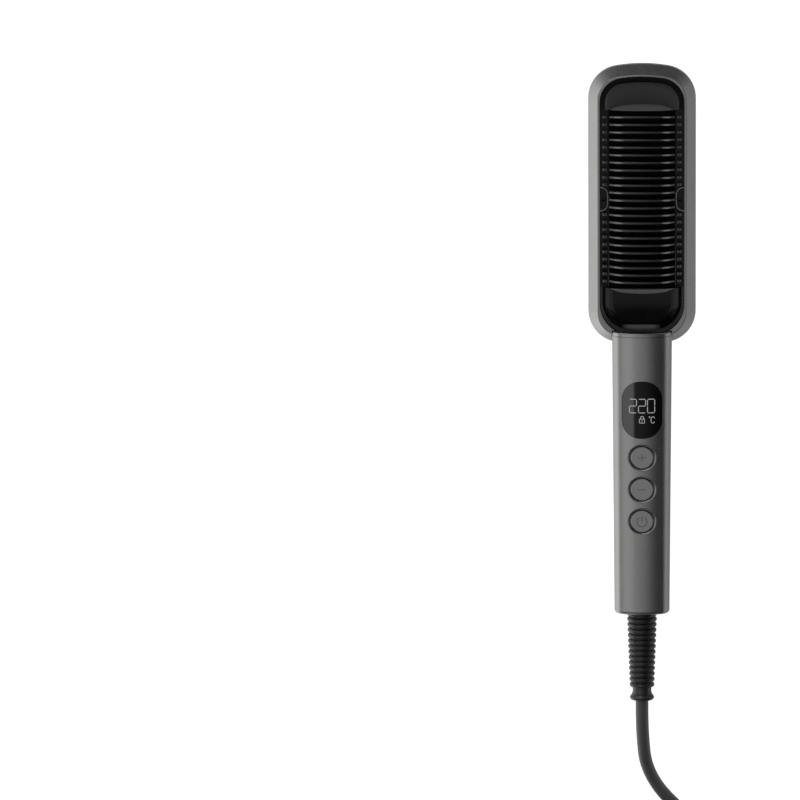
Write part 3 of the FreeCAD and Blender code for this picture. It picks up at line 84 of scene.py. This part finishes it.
def shades(tree, value, dark, light, start=0.3, end=0.7):
    """A value between start and end, as a colour between two shades."""
    made = tree.nodes.new("ShaderNodeValToRGB")
    for stop, place, shade in zip(made.color_ramp.elements, (start, end), (dark, light)):
        stop.position = place
        stop.color = (*shade, 1)
    tree.links.new(value, made.inputs["Fac"])
    return made.outputs["Color"]


def product(tree, first, second):
    """Two values multiplied."""
    made = tree.nodes.new("ShaderNodeMath")
    made.operation = "MULTIPLY"
    tree.links.new(first, made.inputs[0])
    tree.links.new(second, made.inputs[1])
    return made.outputs["Value"]


def colour_mix(tree, share):
    """A mix of two colours by a share: its two inputs and its result."""
    made = tree.nodes.new("ShaderNodeMix")
    made.data_type = "RGBA"
    tree.links.new(share, made.inputs["Factor"])
    first, second = (socket for socket in made.inputs if socket.type == "RGBA")
    result = next(socket for socket in made.outputs if socket.type == "RGBA")
    return first, second, result


def bump(tree, bsdf, height, strength, distance):
    """A relief in the shader's normal."""
    made = tree.nodes.new("ShaderNodeBump")
    made.inputs["Strength"].default_value = strength
    made.inputs["Distance"].default_value = distance
    tree.links.new(height, made.inputs["Height"])
    tree.links.new(made.outputs["Normal"], bsdf.inputs["Normal"])


def finish(
    name, dark, light, rough, metal=0.0, grain=3000, patch=120, strength=0.15, stretch=None, **sockets
):
    """A moulded, cast or coated finish: patches of two shades, uneven roughness and a fine grain."""
    made, tree, bsdf = shader(name)
    broad = noise(tree, patch, 3.0, stretch)
    fine = noise(tree, grain, 2.0, stretch)
    tree.links.new(shades(tree, broad, dark, light), bsdf.inputs["Base Color"])
    tree.links.new(spread(tree, broad, *rough), bsdf.inputs["Roughness"])
    bsdf.inputs["Metallic"].default_value = metal
    for socket, value in sockets.items():
        bsdf.inputs[socket.replace("_", " ")].default_value = value
    bump(tree, bsdf, fine, strength, 0.02 * MM)
    return made


def grey(level, warm=0.0):
    """A grey shade, drawn a little from blue to red where it is warm."""
    return (level * (1 + warm), level, level * (1 - warm))


def line_or_painted_light(made, shade, *bounds):
    """A second colour on the part of a finish that lies within all the bounds, used for a dark joint line
    and for painted light and shade.

    A bound is an axis, a place and a fade in metres. It holds above the place, or below it where the fade is
    negative.
    """
    tree = made.node_tree
    bsdf = tree.nodes["Principled BSDF"]
    place = tree.nodes.new("ShaderNodeSeparateXYZ")
    tree.links.new(tree.nodes.new("ShaderNodeTexCoord").outputs["Object"], place.inputs["Vector"])
    mask = None
    for axis, start, fade in bounds:
        share = spread(tree, place.outputs[axis], 0, 1, start, start + fade)
        mask = product(tree, mask, share) if mask else share
    first, second, result = colour_mix(tree, mask)
    tree.links.new(bsdf.inputs["Base Color"].links[0].from_socket, first)
    second.default_value = (*shade, 1)
    tree.links.new(result, bsdf.inputs["Base Color"])


# Finishes: two shades, the range of roughness, the share of metal, grain and patches per metre, then the
# grain's strength
PAINT = finish("gunmetal_paint", grey(0.37, 0.008), grey(0.39, 0.008), (0.25, 0.29), 0.92, 9000, 90, 0.025)
KEY_PAINT = finish("button_paint", grey(0.43, 0.004), grey(0.45, 0.004), (0.30, 0.34), 0.92, 9000, 200, 0.03)
BLACK = finish("black_plastic", grey(0.003), grey(0.005), (0.20, 0.25), 0.0, 4000, 150, 0.04, IOR=1.6)
RAIL = finish("rail_plastic", grey(0.003), grey(0.005), (0.18, 0.24), 0.0, 4000, 150, 0.04, IOR=1.33)
COATED = finish("fin_coating", grey(0.003), grey(0.005), (0.20, 0.26), 0.0, 6000, 200, 0.03, IOR=1.7)
PLATE = finish("plate_coating", grey(0.002), grey(0.003), (0.45, 0.55), 0.0, 6000, 200, 0.05, IOR=1.2)
CERAMIC = finish("heater_ceramic", grey(0.72, 0.03), grey(0.80, 0.03), (0.45, 0.6), 0.0, 5000, 300)
MICA = finish("mica", (0.42, 0.33, 0.2), (0.55, 0.45, 0.3), (0.35, 0.5), 0.0, 2500, 250)
STEEL = finish("screw_steel", grey(0.42), grey(0.52), (0.28, 0.4), 1.0, 6000, 300)
FRAME = finish("frame_plastic", grey(0.0004), grey(0.0006), (0.12, 0.15), 0.0, 4000, 150, 0.03, IOR=1.12)
LENS = finish("black_lens", grey(0.002), grey(0.003), (0.11, 0.13), 0.0, 800, 60, 0.01, IOR=1.36)
BOARD = finish("board_laminate", (0.01, 0.09, 0.03), (0.015, 0.12, 0.04), (0.35, 0.5), 0.0, 2500, 200)
MODULE = finish("module_white", grey(0.7), grey(0.78), (0.4, 0.5), 0.0, 4000, 200)
NYLON = finish("swivel_nylon", grey(0.45, 0.03), grey(0.52, 0.03), (0.4, 0.5), 0.0, 4000, 200)
BRASS = finish("contact_brass", (0.62, 0.44, 0.16), (0.72, 0.52, 0.22), (0.25, 0.35), 1.0, 6000, 250)
RUBBER = finish("cord_rubber", grey(0.12), grey(0.14), (0.40, 0.50), 0.0, 2500, 120, 0.2)
SLEEVE = finish("sleeve_rubber", grey(0.018), grey(0.024), (0.26, 0.33), 0.0, 2500, 120, 0.10, IOR=1.7)
SCREW_BLACK = finish("blackened_steel", grey(0.03), grey(0.045), (0.35, 0.45), 0.8, 6000, 300)
INSULATION = finish("lead_insulation", (0.35, 0.03, 0.02), (0.45, 0.05, 0.03), (0.4, 0.5), 0.0, 3000, 200)
PLUG = finish("plug_plastic", grey(0.018), grey(0.024), (0.42, 0.5), 0.0, 3500, 150, 0.2)
DRAWN = (0.1, 1, 1)
NICKEL = finish("pin_nickel", grey(0.62, 0.01), grey(0.7, 0.01), (0.18, 0.28), 1.0, 5000, 300, 0.08, DRAWN)
GLOW = finish("display_glow", grey(0.5), grey(0.55), (0.4, 0.5), 0.0, 3000, 200, Emission_Strength=0.26)
GLOW.node_tree.nodes["Principled BSDF"].inputs["Emission Color"].default_value = (0.95, 0.98, 1, 1)
ICON = finish("icon_print", grey(0.20), grey(0.22), (0.34, 0.40), 0.9, 6000, 300, 0.03)

# Second shades: a dark joint line along the cover's lip, painted light on the frame's groove, tip cap, ramps
# and heel round, and painted highlights on the rails' tops and the lugs' rims
LIP_LINE = (("Y", 2.6 * MM, 0.2 * MM), ("Y", 3.4 * MM, -0.2 * MM))
COVER_WIDTH = (("X", -15.9 * MM, 0.1 * MM), ("X", 15.9 * MM, -0.1 * MM), ("Z", 17 * MM, 0.1 * MM))
GROOVE = ("Z", 21.5 * MM, -0.5 * MM)
TIP_CAP = (("Z", 22 * MM, 1 * MM), ("Y", 60 * MM, 60 * MM))
RAMP = ("Z", 25.2 * MM, 0.4 * MM)
TIP_HALF = ("Y", 75 * MM, 1 * MM)
HEEL_HALF = ("Y", 75 * MM, -1 * MM)
HEEL_ROUND = (("Y", 9.4 * MM, -1.0 * MM), ("Z", 19.5 * MM, 0.5 * MM))
HEEL_MIDDLE = (("X", -11 * MM, 4 * MM), ("X", 10 * MM, -4 * MM))
RAIL_TOP = ("Z", 25.15 * MM, 0.4 * MM)
LUG_RIM = (("Z", 25.15 * MM, 0.2 * MM), ("Y", 68.5 * MM, 0.2 * MM), ("Y", 82.5 * MM, -0.2 * MM))
line_or_painted_light(PAINT, grey(0.25, 0.008), *LIP_LINE, *COVER_WIDTH)
# Painted light: the groove a lighter grey than the rest of the frame, for how bright its lit ledge looks
line_or_painted_light(FRAME, grey(0.010), GROOVE)
# Painted light: the frame's cap lighter towards the tip
line_or_painted_light(FRAME, grey(0.030), *TIP_CAP)
# Painted highlights on the frame's ramps, brighter at the tip than at the heel
line_or_painted_light(FRAME, grey(0.095), RAMP, TIP_HALF)
line_or_painted_light(FRAME, grey(0.045), RAMP, HEEL_HALF)
# Painted reflection of the cover's lip on the middle of the frame's heel round
line_or_painted_light(FRAME, grey(0.031), *HEEL_ROUND, *HEEL_MIDDLE)
# Painted highlights on the rails' highest tops, the teeth and the lugs
line_or_painted_light(RAIL, grey(0.03), RAIL_TOP)
# Painted highlight round the rims of the lugs
line_or_painted_light(RAIL, grey(0.14), *LUG_RIM)

WORN = {
    PAINT: ("rear_housing", "handle_cover"),
    KEY_PAINT: ("plus_button", "minus_button", "power_button"),
    BLACK: ("plus_plunger", "minus_plunger", "power_plunger"),
    RAIL: ("guard_rail_left", "guard_rail_right"),
    FRAME: ("comb_frame",),
    COATED: ("comb_fins",),
    PLATE: ("heating_plate",),
    CERAMIC: ("ceramic_heater",),
    MICA: ("mica_sheet",),
    SCREW_BLACK: ("lug_screws", "cover_screws"),
    STEEL: ("heater_clamp", "clamp_screws", "board_screws", "thermal_fuse"),
    LENS: ("display_lens",),
    BOARD: ("control_board",),
    MODULE: ("display_module", "temperature_sensor"),
    NYLON: ("swivel_core", "swivel_bearing"),
    BRASS: ("slip_rings", "contact_springs"),
    SLEEVE: ("strain_relief",),
    INSULATION: ("heater_leads", "mains_leads"),
    PLUG: ("plug_body", "tact_switches"),
    NICKEL: ("plug_pins",),
}
for worn, names in WORN.items():
    for name in names:
        nodes[name].data.materials.clear()
        nodes[name].data.materials.append(worn)


def closed_mesh(name, made):
    """The mesh of what was made, with its faces turned outwards."""
    bmesh.ops.recalc_face_normals(made, faces=made.faces)
    mesh = bpy.data.meshes.new(name)
    made.to_mesh(mesh)
    made.free()
    return mesh


def piece(name, mesh, worn, rider):
    """A new mesh piece that wears a finish and rides on a body."""
    made = bpy.data.objects.new(name, mesh)
    scene.collection.objects.link(made)
    mesh.materials.append(worn)
    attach(made, rider)
    return made


def inlays(name, strips, height, depth):
    """Thin closed strips on a surface of that height, each a row of left and right points in millimetres."""
    made = bmesh.new()
    for strip in strips:
        rows = []
        for ends in strip:
            row = []
            for x, y in ends:
                z = height(x, y)
                row.append([made.verts.new((x * MM, y * MM, level * MM)) for level in (z, z - depth)])
            rows.append(row)
        for (a, b), (c, d) in zip(rows, rows[1:]):
            made.faces.new((a[0], b[0], d[0], c[0]))
            made.faces.new((a[1], c[1], d[1], b[1]))
            made.faces.new((a[0], c[0], c[1], a[1]))
            made.faces.new((b[0], b[1], d[1], d[0]))
        for a, b in (rows[0], rows[-1]):
            made.faces.new((a[0], a[1], b[1], b[0]))
    return closed_mesh(name, made)


def bar(x0, y0, x1, y1, width, taper=0.0, steps=4):
    """A straight stroke with ends that narrow to a quarter over the taper's length."""
    start, end = Vector((x0, y0)), Vector((x1, y1))
    way = (end - start).normalized()
    side = Vector((-way.y, way.x)) * width / 2
    length = (end - start).length
    stops = [0.0] + ([taper] if taper else [])
    stops += [taper + (length - 2 * taper) * k / steps for k in range(1, steps)]
    stops += ([length - taper] if taper else []) + [length]
    strip = []
    for stop in stops:
        half = side * (0.25 if taper and stop in (0.0, length) else 1)
        at = start + way * stop
        strip.append((tuple(at + half), tuple(at - half)))
    return strip


def arc(x, y, radius, first, last, width, steps=24):
    """A curved stroke between two angles in degrees."""
    strip = []
    for k in range(steps + 1):
        a = math.radians(first + (last - first) * k / steps)
        way = Vector((math.cos(a), math.sin(a)))
        at = Vector((x, y))
        strip.append((tuple(at + way * (radius + width / 2)), tuple(at + way * (radius - width / 2))))
    return strip


# Display: three seven-segment digits, a lock and the degree sign, on the lens's curve, in millimetres
lens_low, lens_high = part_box("display_lens")
lens_y = (lens_low.y + lens_high.y) / 2 / MM
FRONT_RADIUS = 26.0
FRONT_CENTRE = 5.0
PROUD = 0.03
DIGIT_HALF = 1.88
DIGIT_RISE = 3.62
DIGIT_PITCH = 4.76
STROKE = 0.40
STROKE_TAPER = 0.2
SEGMENTS = {"2": "abged", "0": "abcdef"}
LOCK_HALF, LOCK_TOP, LOCK_FOOT, LOCK_STROKE = 1.35, 0.3, -1.85, 0.32
SHACKLE = 0.85
KEYHOLE_TOP, KEYHOLE_FOOT = -0.45, -1.2
RING_X, RING_Y, RING_RADIUS, RING_STROKE = 3.95, 1.3, 0.3, 0.22
LETTER_X, LETTER_TOP, LETTER_FOOT, LETTER_RADIUS = 5.7, 0.45, -0.95, 0.95
SIGN_STROKE = 0.34


def on_front(x, y):
    """The height of the handle's round front, a hair above its surface."""
    return FRONT_CENTRE + math.sqrt(FRONT_RADIUS**2 - x**2) + PROUD


def digit(sign, x, y):
    """The strokes of one digit about its middle."""
    half, rise, inset = DIGIT_HALF, DIGIT_RISE, STROKE / 2
    ends = {
        "a": (-half + inset, rise, half - inset, rise),
        "b": (half, rise - inset, half, inset),
        "c": (half, -inset, half, -rise + inset),
        "d": (-half + inset, -rise, half - inset, -rise),
        "e": (-half, -inset, -half, -rise + inset),
        "f": (-half, rise - inset, -half, inset),
        "g": (-half + inset, 0, half - inset, 0),
    }
    made = []
    for segment in SEGMENTS[sign]:
        x0, y0, x1, y1 = ends[segment]
        made.append(bar(x + x0, y + y0, x + x1, y + y1, STROKE, STROKE_TAPER))
    return made


def lock(y):
    """A padlock: its box, its shackle and its keyhole."""
    top, foot, inset = y + LOCK_TOP, y + LOCK_FOOT, LOCK_STROKE / 2
    return [
        bar(-LOCK_HALF, top, LOCK_HALF, top, LOCK_STROKE),
        bar(-LOCK_HALF, foot, LOCK_HALF, foot, LOCK_STROKE),
        bar(-LOCK_HALF, top - inset, -LOCK_HALF, foot + inset, LOCK_STROKE),
        bar(LOCK_HALF, top - inset, LOCK_HALF, foot + inset, LOCK_STROKE),
        arc(0, y + SHACKLE, SHACKLE, 0, 180, LOCK_STROKE),
        bar(-SHACKLE, y + SHACKLE, -SHACKLE, top + inset, LOCK_STROKE),
        bar(SHACKLE, y + SHACKLE, SHACKLE, top + inset, LOCK_STROKE),
        bar(0, y + KEYHOLE_TOP, 0, y + KEYHOLE_FOOT, SIGN_STROKE),
    ]


def degree_sign(y):
    """A small ring and a narrow letter C."""
    top, foot, back = y + LETTER_TOP, y + LETTER_FOOT, LETTER_X - LETTER_RADIUS
    return [
        arc(RING_X, y + RING_Y, RING_RADIUS, 0, 360, RING_STROKE),
        arc(LETTER_X, top, LETTER_RADIUS, 15, 180, SIGN_STROKE),
        bar(back, top, back, foot, SIGN_STROKE),
        arc(LETTER_X, foot, LETTER_RADIUS, 180, 345, SIGN_STROKE),
    ]


digits_y = lens_y + 2.2
signs_y = lens_y - 5.0
strokes = []
for place, sign in enumerate("220"):
    strokes += digit(sign, (place - 1) * DIGIT_PITCH, digits_y)
strokes += lock(signs_y) + degree_sign(signs_y)
piece("display_signs", inlays("display_signs", strokes, on_front, 0.08), GLOW, "housing")

# Plate that closes the cover's mouth above the comb frame's heel
MOUTH_RADIUS, MOUTH_TURN = 24.3, 24.0
SHOULDER_X, SHOULDER_Z, SHOULDER_RADIUS = 7.07, 20.8, 7.0
MOUTH_FOOT = 19.2
MOUTH_Y, MOUTH_THICK = 4.6, 1.2
MOUTH_STEPS = 12


def mouth_plate():
    """The cover's inner outline, a wide arc between two round shoulders, as a thin plate."""
    outline = []
    for k in range(MOUTH_STEPS + 1):
        a = math.radians(90 - (90 - MOUTH_TURN) * k / MOUTH_STEPS)
        x, z = SHOULDER_RADIUS * math.sin(a), SHOULDER_RADIUS * math.cos(a)
        outline.append((SHOULDER_X + x, SHOULDER_Z + z))
    for k in range(MOUTH_STEPS + 1):
        a = math.radians(MOUTH_TURN * (1 - k / MOUTH_STEPS))
        outline.append((MOUTH_RADIUS * math.sin(a), FRONT_CENTRE + MOUTH_RADIUS * math.cos(a)))
    outline += [(-x, z) for x, z in outline[-2::-1]]
    outline = [(outline[0][0], MOUTH_FOOT), *outline, (outline[-1][0], MOUTH_FOOT)]
    made = bmesh.new()
    front = [made.verts.new((x * MM, MOUTH_Y * MM, z * MM)) for x, z in outline]
    back = [made.verts.new((x * MM, (MOUTH_Y - MOUTH_THICK) * MM, z * MM)) for x, z in outline]
    made.faces.new(front)
    made.faces.new(back[::-1])
    for k in range(len(outline)):
        after = (k + 1) % len(outline)
        made.faces.new((front[k], back[k], back[after], front[after]))
    return closed_mesh("cover_end_plate", made)


piece("cover_end_plate", mouth_plate(), BLACK, "housing")

# Signs printed on the three keys, in millimetres
KEY_ARM, KEY_STROKE = 2.0, 0.42
POWER_Y, POWER_RADIUS, POWER_STROKE = -0.2, 2.6, 0.45
POWER_TOP, POWER_FOOT = 2.9, 0.3
across = bar(-KEY_ARM, 0, KEY_ARM, 0, KEY_STROKE)
upper = bar(0, KEY_ARM, 0, KEY_STROKE / 2, KEY_STROKE)
lower = bar(0, -KEY_STROKE / 2, 0, -KEY_ARM, KEY_STROKE)
open_ring = arc(0, POWER_Y, POWER_RADIUS, 125, 415, POWER_STROKE)
KEY_SIGNS = {
    "plus": [across, upper, lower],
    "minus": [across],
    "power": [open_ring, bar(0, POWER_TOP, 0, POWER_FOOT, POWER_STROKE)],
}
for key, signs in KEY_SIGNS.items():
    low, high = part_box(f"{key}_button")
    key_y = (low.y + high.y) / 2 / MM
    moved = [[tuple((x, y + key_y) for x, y in row) for row in strip] for strip in signs]
    top = high.z / MM + PROUD / 2
    sign_mesh = inlays(f"{key}_sign", moved, lambda x, y: top, 0.05)
    piece(f"{key}_sign", sign_mesh, ICON, f"{key}_key")

# Cord: one line from the strain relief through the hank to the plug, in millimetres
CORD = 6.8
EXIT_Y, EXIT_Z = -193.2, 15.5
HANK = Vector((6.1, -332.6, 0))
RUN_HALF, WIDE, STEP, WAIST = 51.0, 28.2, 7.8, 7.0
LAYERS = [4.9 + 7.5 * k for k in range(4)]
NARROW, LEFT = WIDE - STEP, WIDE - STEP / 2
PER_HALF_TURN = 8
PLUG_X, PLUG_Z = 20, 6.9


def half_turn(first_x, last_x, end, z, skip=0):
    """Points round one end of the hank, outside the half circle that they shape."""
    middle = (first_x + last_x) / 2
    step = math.pi / PER_HALF_TURN
    reach = abs(first_x - last_x) / 2 / math.cos(step / 2)
    side = 1 if first_x > last_x else -1
    made = []
    for k in range(skip, PER_HALF_TURN):
        a = (k + 0.5) * step
        across, along = reach * math.cos(a), reach * math.sin(a)
        made.append(HANK + Vector((middle + side * across, end * (RUN_HALF + along), z)))
    return made


def hank_side(x, first_z, last_z, way):
    """One run, drawn in at the waist, which may climb a layer."""
    drawn = x - math.copysign(WAIST, x)
    middle_z = (first_z + last_z) / 2
    spots = ((x, -0.75, first_z), (drawn, -0.25, middle_z), (drawn, 0.25, middle_z), (x, 0.75, last_z))
    return [HANK + Vector((at, way * share * RUN_HALF, z)) for at, share, z in spots]


def hank_route():
    """Round the hank once on each layer, climbing along the right runs, wide and narrow by turns."""
    made = half_turn(-LEFT - STEP, WIDE, 1, LAYERS[0], PER_HALF_TURN * 3 // 4)
    rights = [WIDE if k % 2 == 0 else NARROW for k in range(len(LAYERS) + 1)]
    for k, x in enumerate(rights):
        first_z, last_z = LAYERS[max(k - 1, 0)], LAYERS[min(k, len(LAYERS) - 1)]
        made += hank_side(x, first_z, last_z, -1)
        if k < len(LAYERS):
            made += half_turn(x, -LEFT, -1, last_z) + hank_side(-LEFT, last_z, last_z, 1)
            made += half_turn(-LEFT, rights[k + 1], 1, last_z)
    return made


slant = Vector((1, -1, 0)).normalized()
entry_radius = (NARROW + LEFT) / 2 + STEP
entry_x = (NARROW - LEFT) / 2 + entry_radius * slant.x
entry_y = RUN_HALF + entry_radius * slant.x
lead_in = HANK + Vector((entry_x, entry_y, LAYERS[0])) - slant * CORD
lead_out = HANK + Vector((WIDE, -RUN_HALF - CORD, LAYERS[-1]))
free_run = [
    Vector((0, EXIT_Y, EXIT_Z)),
    Vector((0, -203, EXIT_Z)),
    Vector((0.5, -215, 13.6)),
    Vector((1.9, -229.5, 9.2)),
    lead_in - slant * 17,
    lead_in,
]
tail = [
    lead_out,
    Vector((lead_out.x, -405, lead_out.z)),
    Vector((31.5, -420, 22.9)),
    Vector((25.5, -436, 14.6)),
    Vector((21.4, -452, 8.7)),
    Vector((PLUG_X, -467, PLUG_Z)),
    Vector((PLUG_X, -478, PLUG_Z)),
]
route = free_run + hank_route() + tail
line = bpy.data.curves.new("mains_cord", "CURVE")
line.dimensions = "3D"
line.bevel_depth = CORD / 2 * MM
line.bevel_resolution = 5
line.resolution_u = 6
line.use_fill_caps = True
spline = line.splines.new("NURBS")
spline.points.add(len(route) - 1)
for point, at in zip(spline.points, route):
    point.co = (*(at * MM), 1)
spline.order_u = 3
spline.use_endpoint_u = True
line.materials.append(RUBBER)
cord = bpy.data.objects.new("mains_cord", line)
scene.collection.objects.link(cord)
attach(cord, "housing")
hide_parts("cord_run", "cord_coil", "cord_tail")

# Strap round the hank
STRAP_THICK = 1.1 * MM
STRAP_CORNER = 5.1 * MM
CORNER_STEPS = 6
ACROSS_STEPS = 8
EDGE_SHARE = 0.12
THREADS = 340


def strap(low, high):
    """A closed band with round corners, a little thinner along its two edges."""
    x0, x1 = low.x + STRAP_CORNER, high.x - STRAP_CORNER
    z0, z1 = low.z + STRAP_CORNER, high.z - STRAP_CORNER
    turns = []
    for x, z, first in ((x1, z1, 0), (x0, z1, 90), (x0, z0, 180), (x1, z0, 270)):
        for k in range(CORNER_STEPS + 1):
            a = math.radians(first + 90 * k / CORNER_STEPS)
            turns.append((Vector((x, 0, z)), Vector((math.cos(a), 0, math.sin(a)))))
    across = [k / ACROSS_STEPS for k in range(ACROSS_STEPS + 1)]
    made = bmesh.new()
    rings = []
    for middle, out in turns:
        ring = []
        for depth, order in ((0, across), (STRAP_THICK, across[::-1])):
            for share in order:
                edge = EDGE_SHARE * STRAP_THICK if share in (0, 1) else 0
                reach = STRAP_CORNER - depth + (edge if depth else -edge)
                along = Vector((0, low.y + (high.y - low.y) * share, 0))
                ring.append(made.verts.new(middle + out * reach + along))
        rings.append(ring)
    for a, b in zip(rings, rings[1:] + rings[:1]):
        for i in range(len(a)):
            j = (i + 1) % len(a)
            made.faces.new((a[i], a[j], b[j], b[i]))
    return closed_mesh("cord_strap", made)


def woven(name, dark, light):
    """Narrow woven tape: crossing threads in height and shade."""
    made, tree, bsdf = shader(name)
    where = tree.nodes.new("ShaderNodeTexCoord").outputs["Object"]
    heights = []
    for way in ("X", "Y"):
        wave = tree.nodes.new("ShaderNodeTexWave")
        wave.bands_direction = way
        wave.inputs["Scale"].default_value = THREADS
        wave.inputs["Distortion"].default_value = 0.4
        tree.links.new(where, wave.inputs["Vector"])
        heights.append(wave.outputs["Fac"])
    both = product(tree, *heights)
    tree.links.new(shades(tree, both, dark, light, 0.1, 0.8), bsdf.inputs["Base Color"])
    tree.links.new(spread(tree, noise(tree, 900), 0.75, 0.92), bsdf.inputs["Roughness"])
    bsdf.inputs["Sheen Weight"].default_value = 0.3
    bump(tree, bsdf, both, 0.5, 0.2 * MM)
    return made


TAPE = woven("tie_fabric", grey(0.012), grey(0.03))
tie = piece("cord_strap", strap(*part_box("cord_tie")), TAPE, "housing")
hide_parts("cord_tie")

# Floor and light
FLOOR_HALF = 4.0
FLOOR_DROP = 0.2 * MM
grid = bmesh.new()
bmesh.ops.create_grid(grid, x_segments=2, y_segments=2, size=FLOOR_HALF)
floor_mesh = bpy.data.meshes.new("floor")
grid.to_mesh(floor_mesh)
grid.free()
floor = bpy.data.objects.new("floor", floor_mesh)
scene.collection.objects.link(floor)
PALE = finish("pale_floor", grey(0.86), grey(0.88), (0.8, 0.9), 0.0, 60, 4, 0.02, Emission_Strength=0.96)
PALE.node_tree.nodes["Principled BSDF"].inputs["Emission Color"].default_value = (1, 1, 1, 1)
floor_mesh.materials.append(PALE)
floor.location.z = -FLOOR_DROP
floor.visible_glossy = False

# The studio round the part, by direction: how bright it is round the brush's length, in degrees to the right
# of straight above, and how much of that is left towards the heel (-1) and the tip (1), above and below
AROUND = (
    (-180, 0.35),
    (-140, 1.00),
    (-100, 1.32),
    (-86, 1.15),
    (-74, 0.50),
    (-50, 0.48),
    (-44, 0.68),
    (-24, 0.68),
    (-18, 0.46),
    (0, 0.38),
    (12, 0.27),
    (24, 0.13),
    (36, 0.05),
    (64, 0.045),
    (82, 0.45),
    (100, 0.60),
    (122, 0.38),
    (180, 0.35),
)
ALONG_ABOVE = (
    (-1.0, 0.7),
    (-0.94, 0.6),
    (-0.84, 0.10),
    (-0.55, 0.06),
    (-0.34, 0.95),
    (-0.16, 1.0),
    (0.2, 1.0),
    (0.45, 0.55),
    (0.72, 0.25),
    (0.86, 1.7),
    (1.0, 2.0),
)
ALONG_BELOW = (
    (-1.0, 0.6),
    (-0.6, 1.14),
    (0.0, 0.86),
    (0.3, 0.8),
    (0.6, 0.34),
    (0.8, 0.12),
    (0.95, 0.12),
    (1.0, 0.3),
)
HORIZON = (-0.15, 0.05)


def levels(tree, value, low, high, stops):
    """A grey level read off from stops between a low and a high value."""
    made = tree.nodes.new("ShaderNodeValToRGB")
    while len(made.color_ramp.elements) < len(stops):
        made.color_ramp.elements.new(0.5)
    for element, (place, level) in zip(made.color_ramp.elements, stops):
        element.position = (place - low) / (high - low)
        element.color = (level, level, level, 1)
    tree.links.new(spread(tree, value, 0, 1, low, high), made.inputs["Fac"])
    return made.outputs["Color"]


world = bpy.data.worlds.new("studio")
scene.world = world
world.use_nodes = True
tree = world.node_tree
tree.nodes.clear()
way = tree.nodes.new("ShaderNodeSeparateXYZ")
tree.links.new(tree.nodes.new("ShaderNodeTexCoord").outputs["Generated"], way.inputs["Vector"])
angle = tree.nodes.new("ShaderNodeMath")
angle.operation = "ARCTAN2"
tree.links.new(way.outputs["X"], angle.inputs[0])
tree.links.new(way.outputs["Z"], angle.inputs[1])
degrees = tree.nodes.new("ShaderNodeMath")
degrees.operation = "DEGREES"
tree.links.new(angle.outputs["Value"], degrees.inputs[0])
below, above, along = colour_mix(tree, spread(tree, way.outputs["Z"], 0, 1, *HORIZON))
tree.links.new(levels(tree, way.outputs["Y"], -1, 1, ALONG_BELOW), below)
tree.links.new(levels(tree, way.outputs["Y"], -1, 1, ALONG_ABOVE), above)
background = tree.nodes.new("ShaderNodeBackground")
tree.links.new(levels(tree, degrees.outputs["Value"], -180, 180, AROUND), background.inputs["Color"])
tree.links.new(along, background.inputs["Strength"])
tree.links.new(background.outputs["Background"], tree.nodes.new("ShaderNodeOutputWorld").inputs["Surface"])

# Softboxes stand this many degrees towards the heel, about as far as the camera stands towards the tip
MIRROR_DIP = 9.2


def softbox(name, target, lean, reach, size, energy, lit):
    """A soft light on some pieces alone, unshaded by others, that leans so many degrees to the right."""
    made = bpy.data.lights.new(name, "AREA")
    made.shape = "RECTANGLE"
    made.size, made.size_y = size
    made.energy = energy
    lamp = bpy.data.objects.new(name, made)
    scene.collection.objects.link(lamp)
    turned = Euler((math.radians(MIRROR_DIP), math.radians(lean), 0)).to_matrix().to_4x4()
    lamp.matrix_world = Matrix.Translation(target) @ turned @ Matrix.Translation((0, 0, reach))
    lamp.visible_camera = False
    receivers = bpy.data.collections.new(f"{name}_receivers")
    for node in lit:
        receivers.objects.link(nodes[node])
    lamp.light_linking.receiver_collection = receivers
    lamp.light_linking.blocker_collection = receivers


# One puts the straight-edged shine on the window's left third, two light the comb's flanks, and three small
# ones close by light the frame's cap at the heel from above and from both sides
COMB = ["comb_fins", "guard_rail_left", "guard_rail_right", "comb_frame"]
window = Vector((0, lens_y * MM, lens_high.z))
comb_low, comb_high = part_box("comb_fins")
cap = Vector((0, 34 * MM, 25.2 * MM))
softbox("window_softbox", window, -33.5, 0.5, (0.25, 0.5), 1.0, ["display_lens"])
for side, lean in (("left", -54), ("right", 54)):
    softbox(f"comb_softbox_{side}", (comb_low + comb_high) / 2, lean, 0.6, (0.4, 0.7), 1.6, COMB)
softbox("cap_softbox", cap, 0, 0.07, (0.04, 0.028), 0.0085, ["comb_frame"])
for side, lean in (("left", -50), ("right", 50)):
    softbox(f"cap_softbox_{side}", cap, lean, 0.07, (0.1, 0.05), 0.07, ["comb_frame"])

# Camera: far off above the comb, a little to the tip's side, with the brush right of the middle
FOCAL_PX = 7657.0
ASIDE_PX = 242.0
PICTURE_PX = 800
SENSOR = 36.0
PITCH = math.radians(9.371)
CAMERA_AT = (0, 0.6239, 3.9930)
yaw = math.atan(ASIDE_PX / FOCAL_PX)
down = Vector((0, -math.sin(PITCH), -math.cos(PITCH)))
up = Vector((0, math.cos(PITCH), -math.sin(PITCH)))
aside = Vector((1, 0, 0))
forward = down * math.cos(yaw) - aside * math.sin(yaw)
right = aside * math.cos(yaw) + down * math.sin(yaw)
optics = bpy.data.cameras.new("camera")
optics.sensor_width = SENSOR
optics.lens = SENSOR * FOCAL_PX / PICTURE_PX
camera = bpy.data.objects.new("camera", optics)
scene.collection.objects.link(camera)
turned = Matrix((right, up, -forward)).transposed().to_4x4()
camera.matrix_world = Matrix.Translation(CAMERA_AT) @ turned
scene.camera = camera
scene.view_settings.view_transform = "Standard"
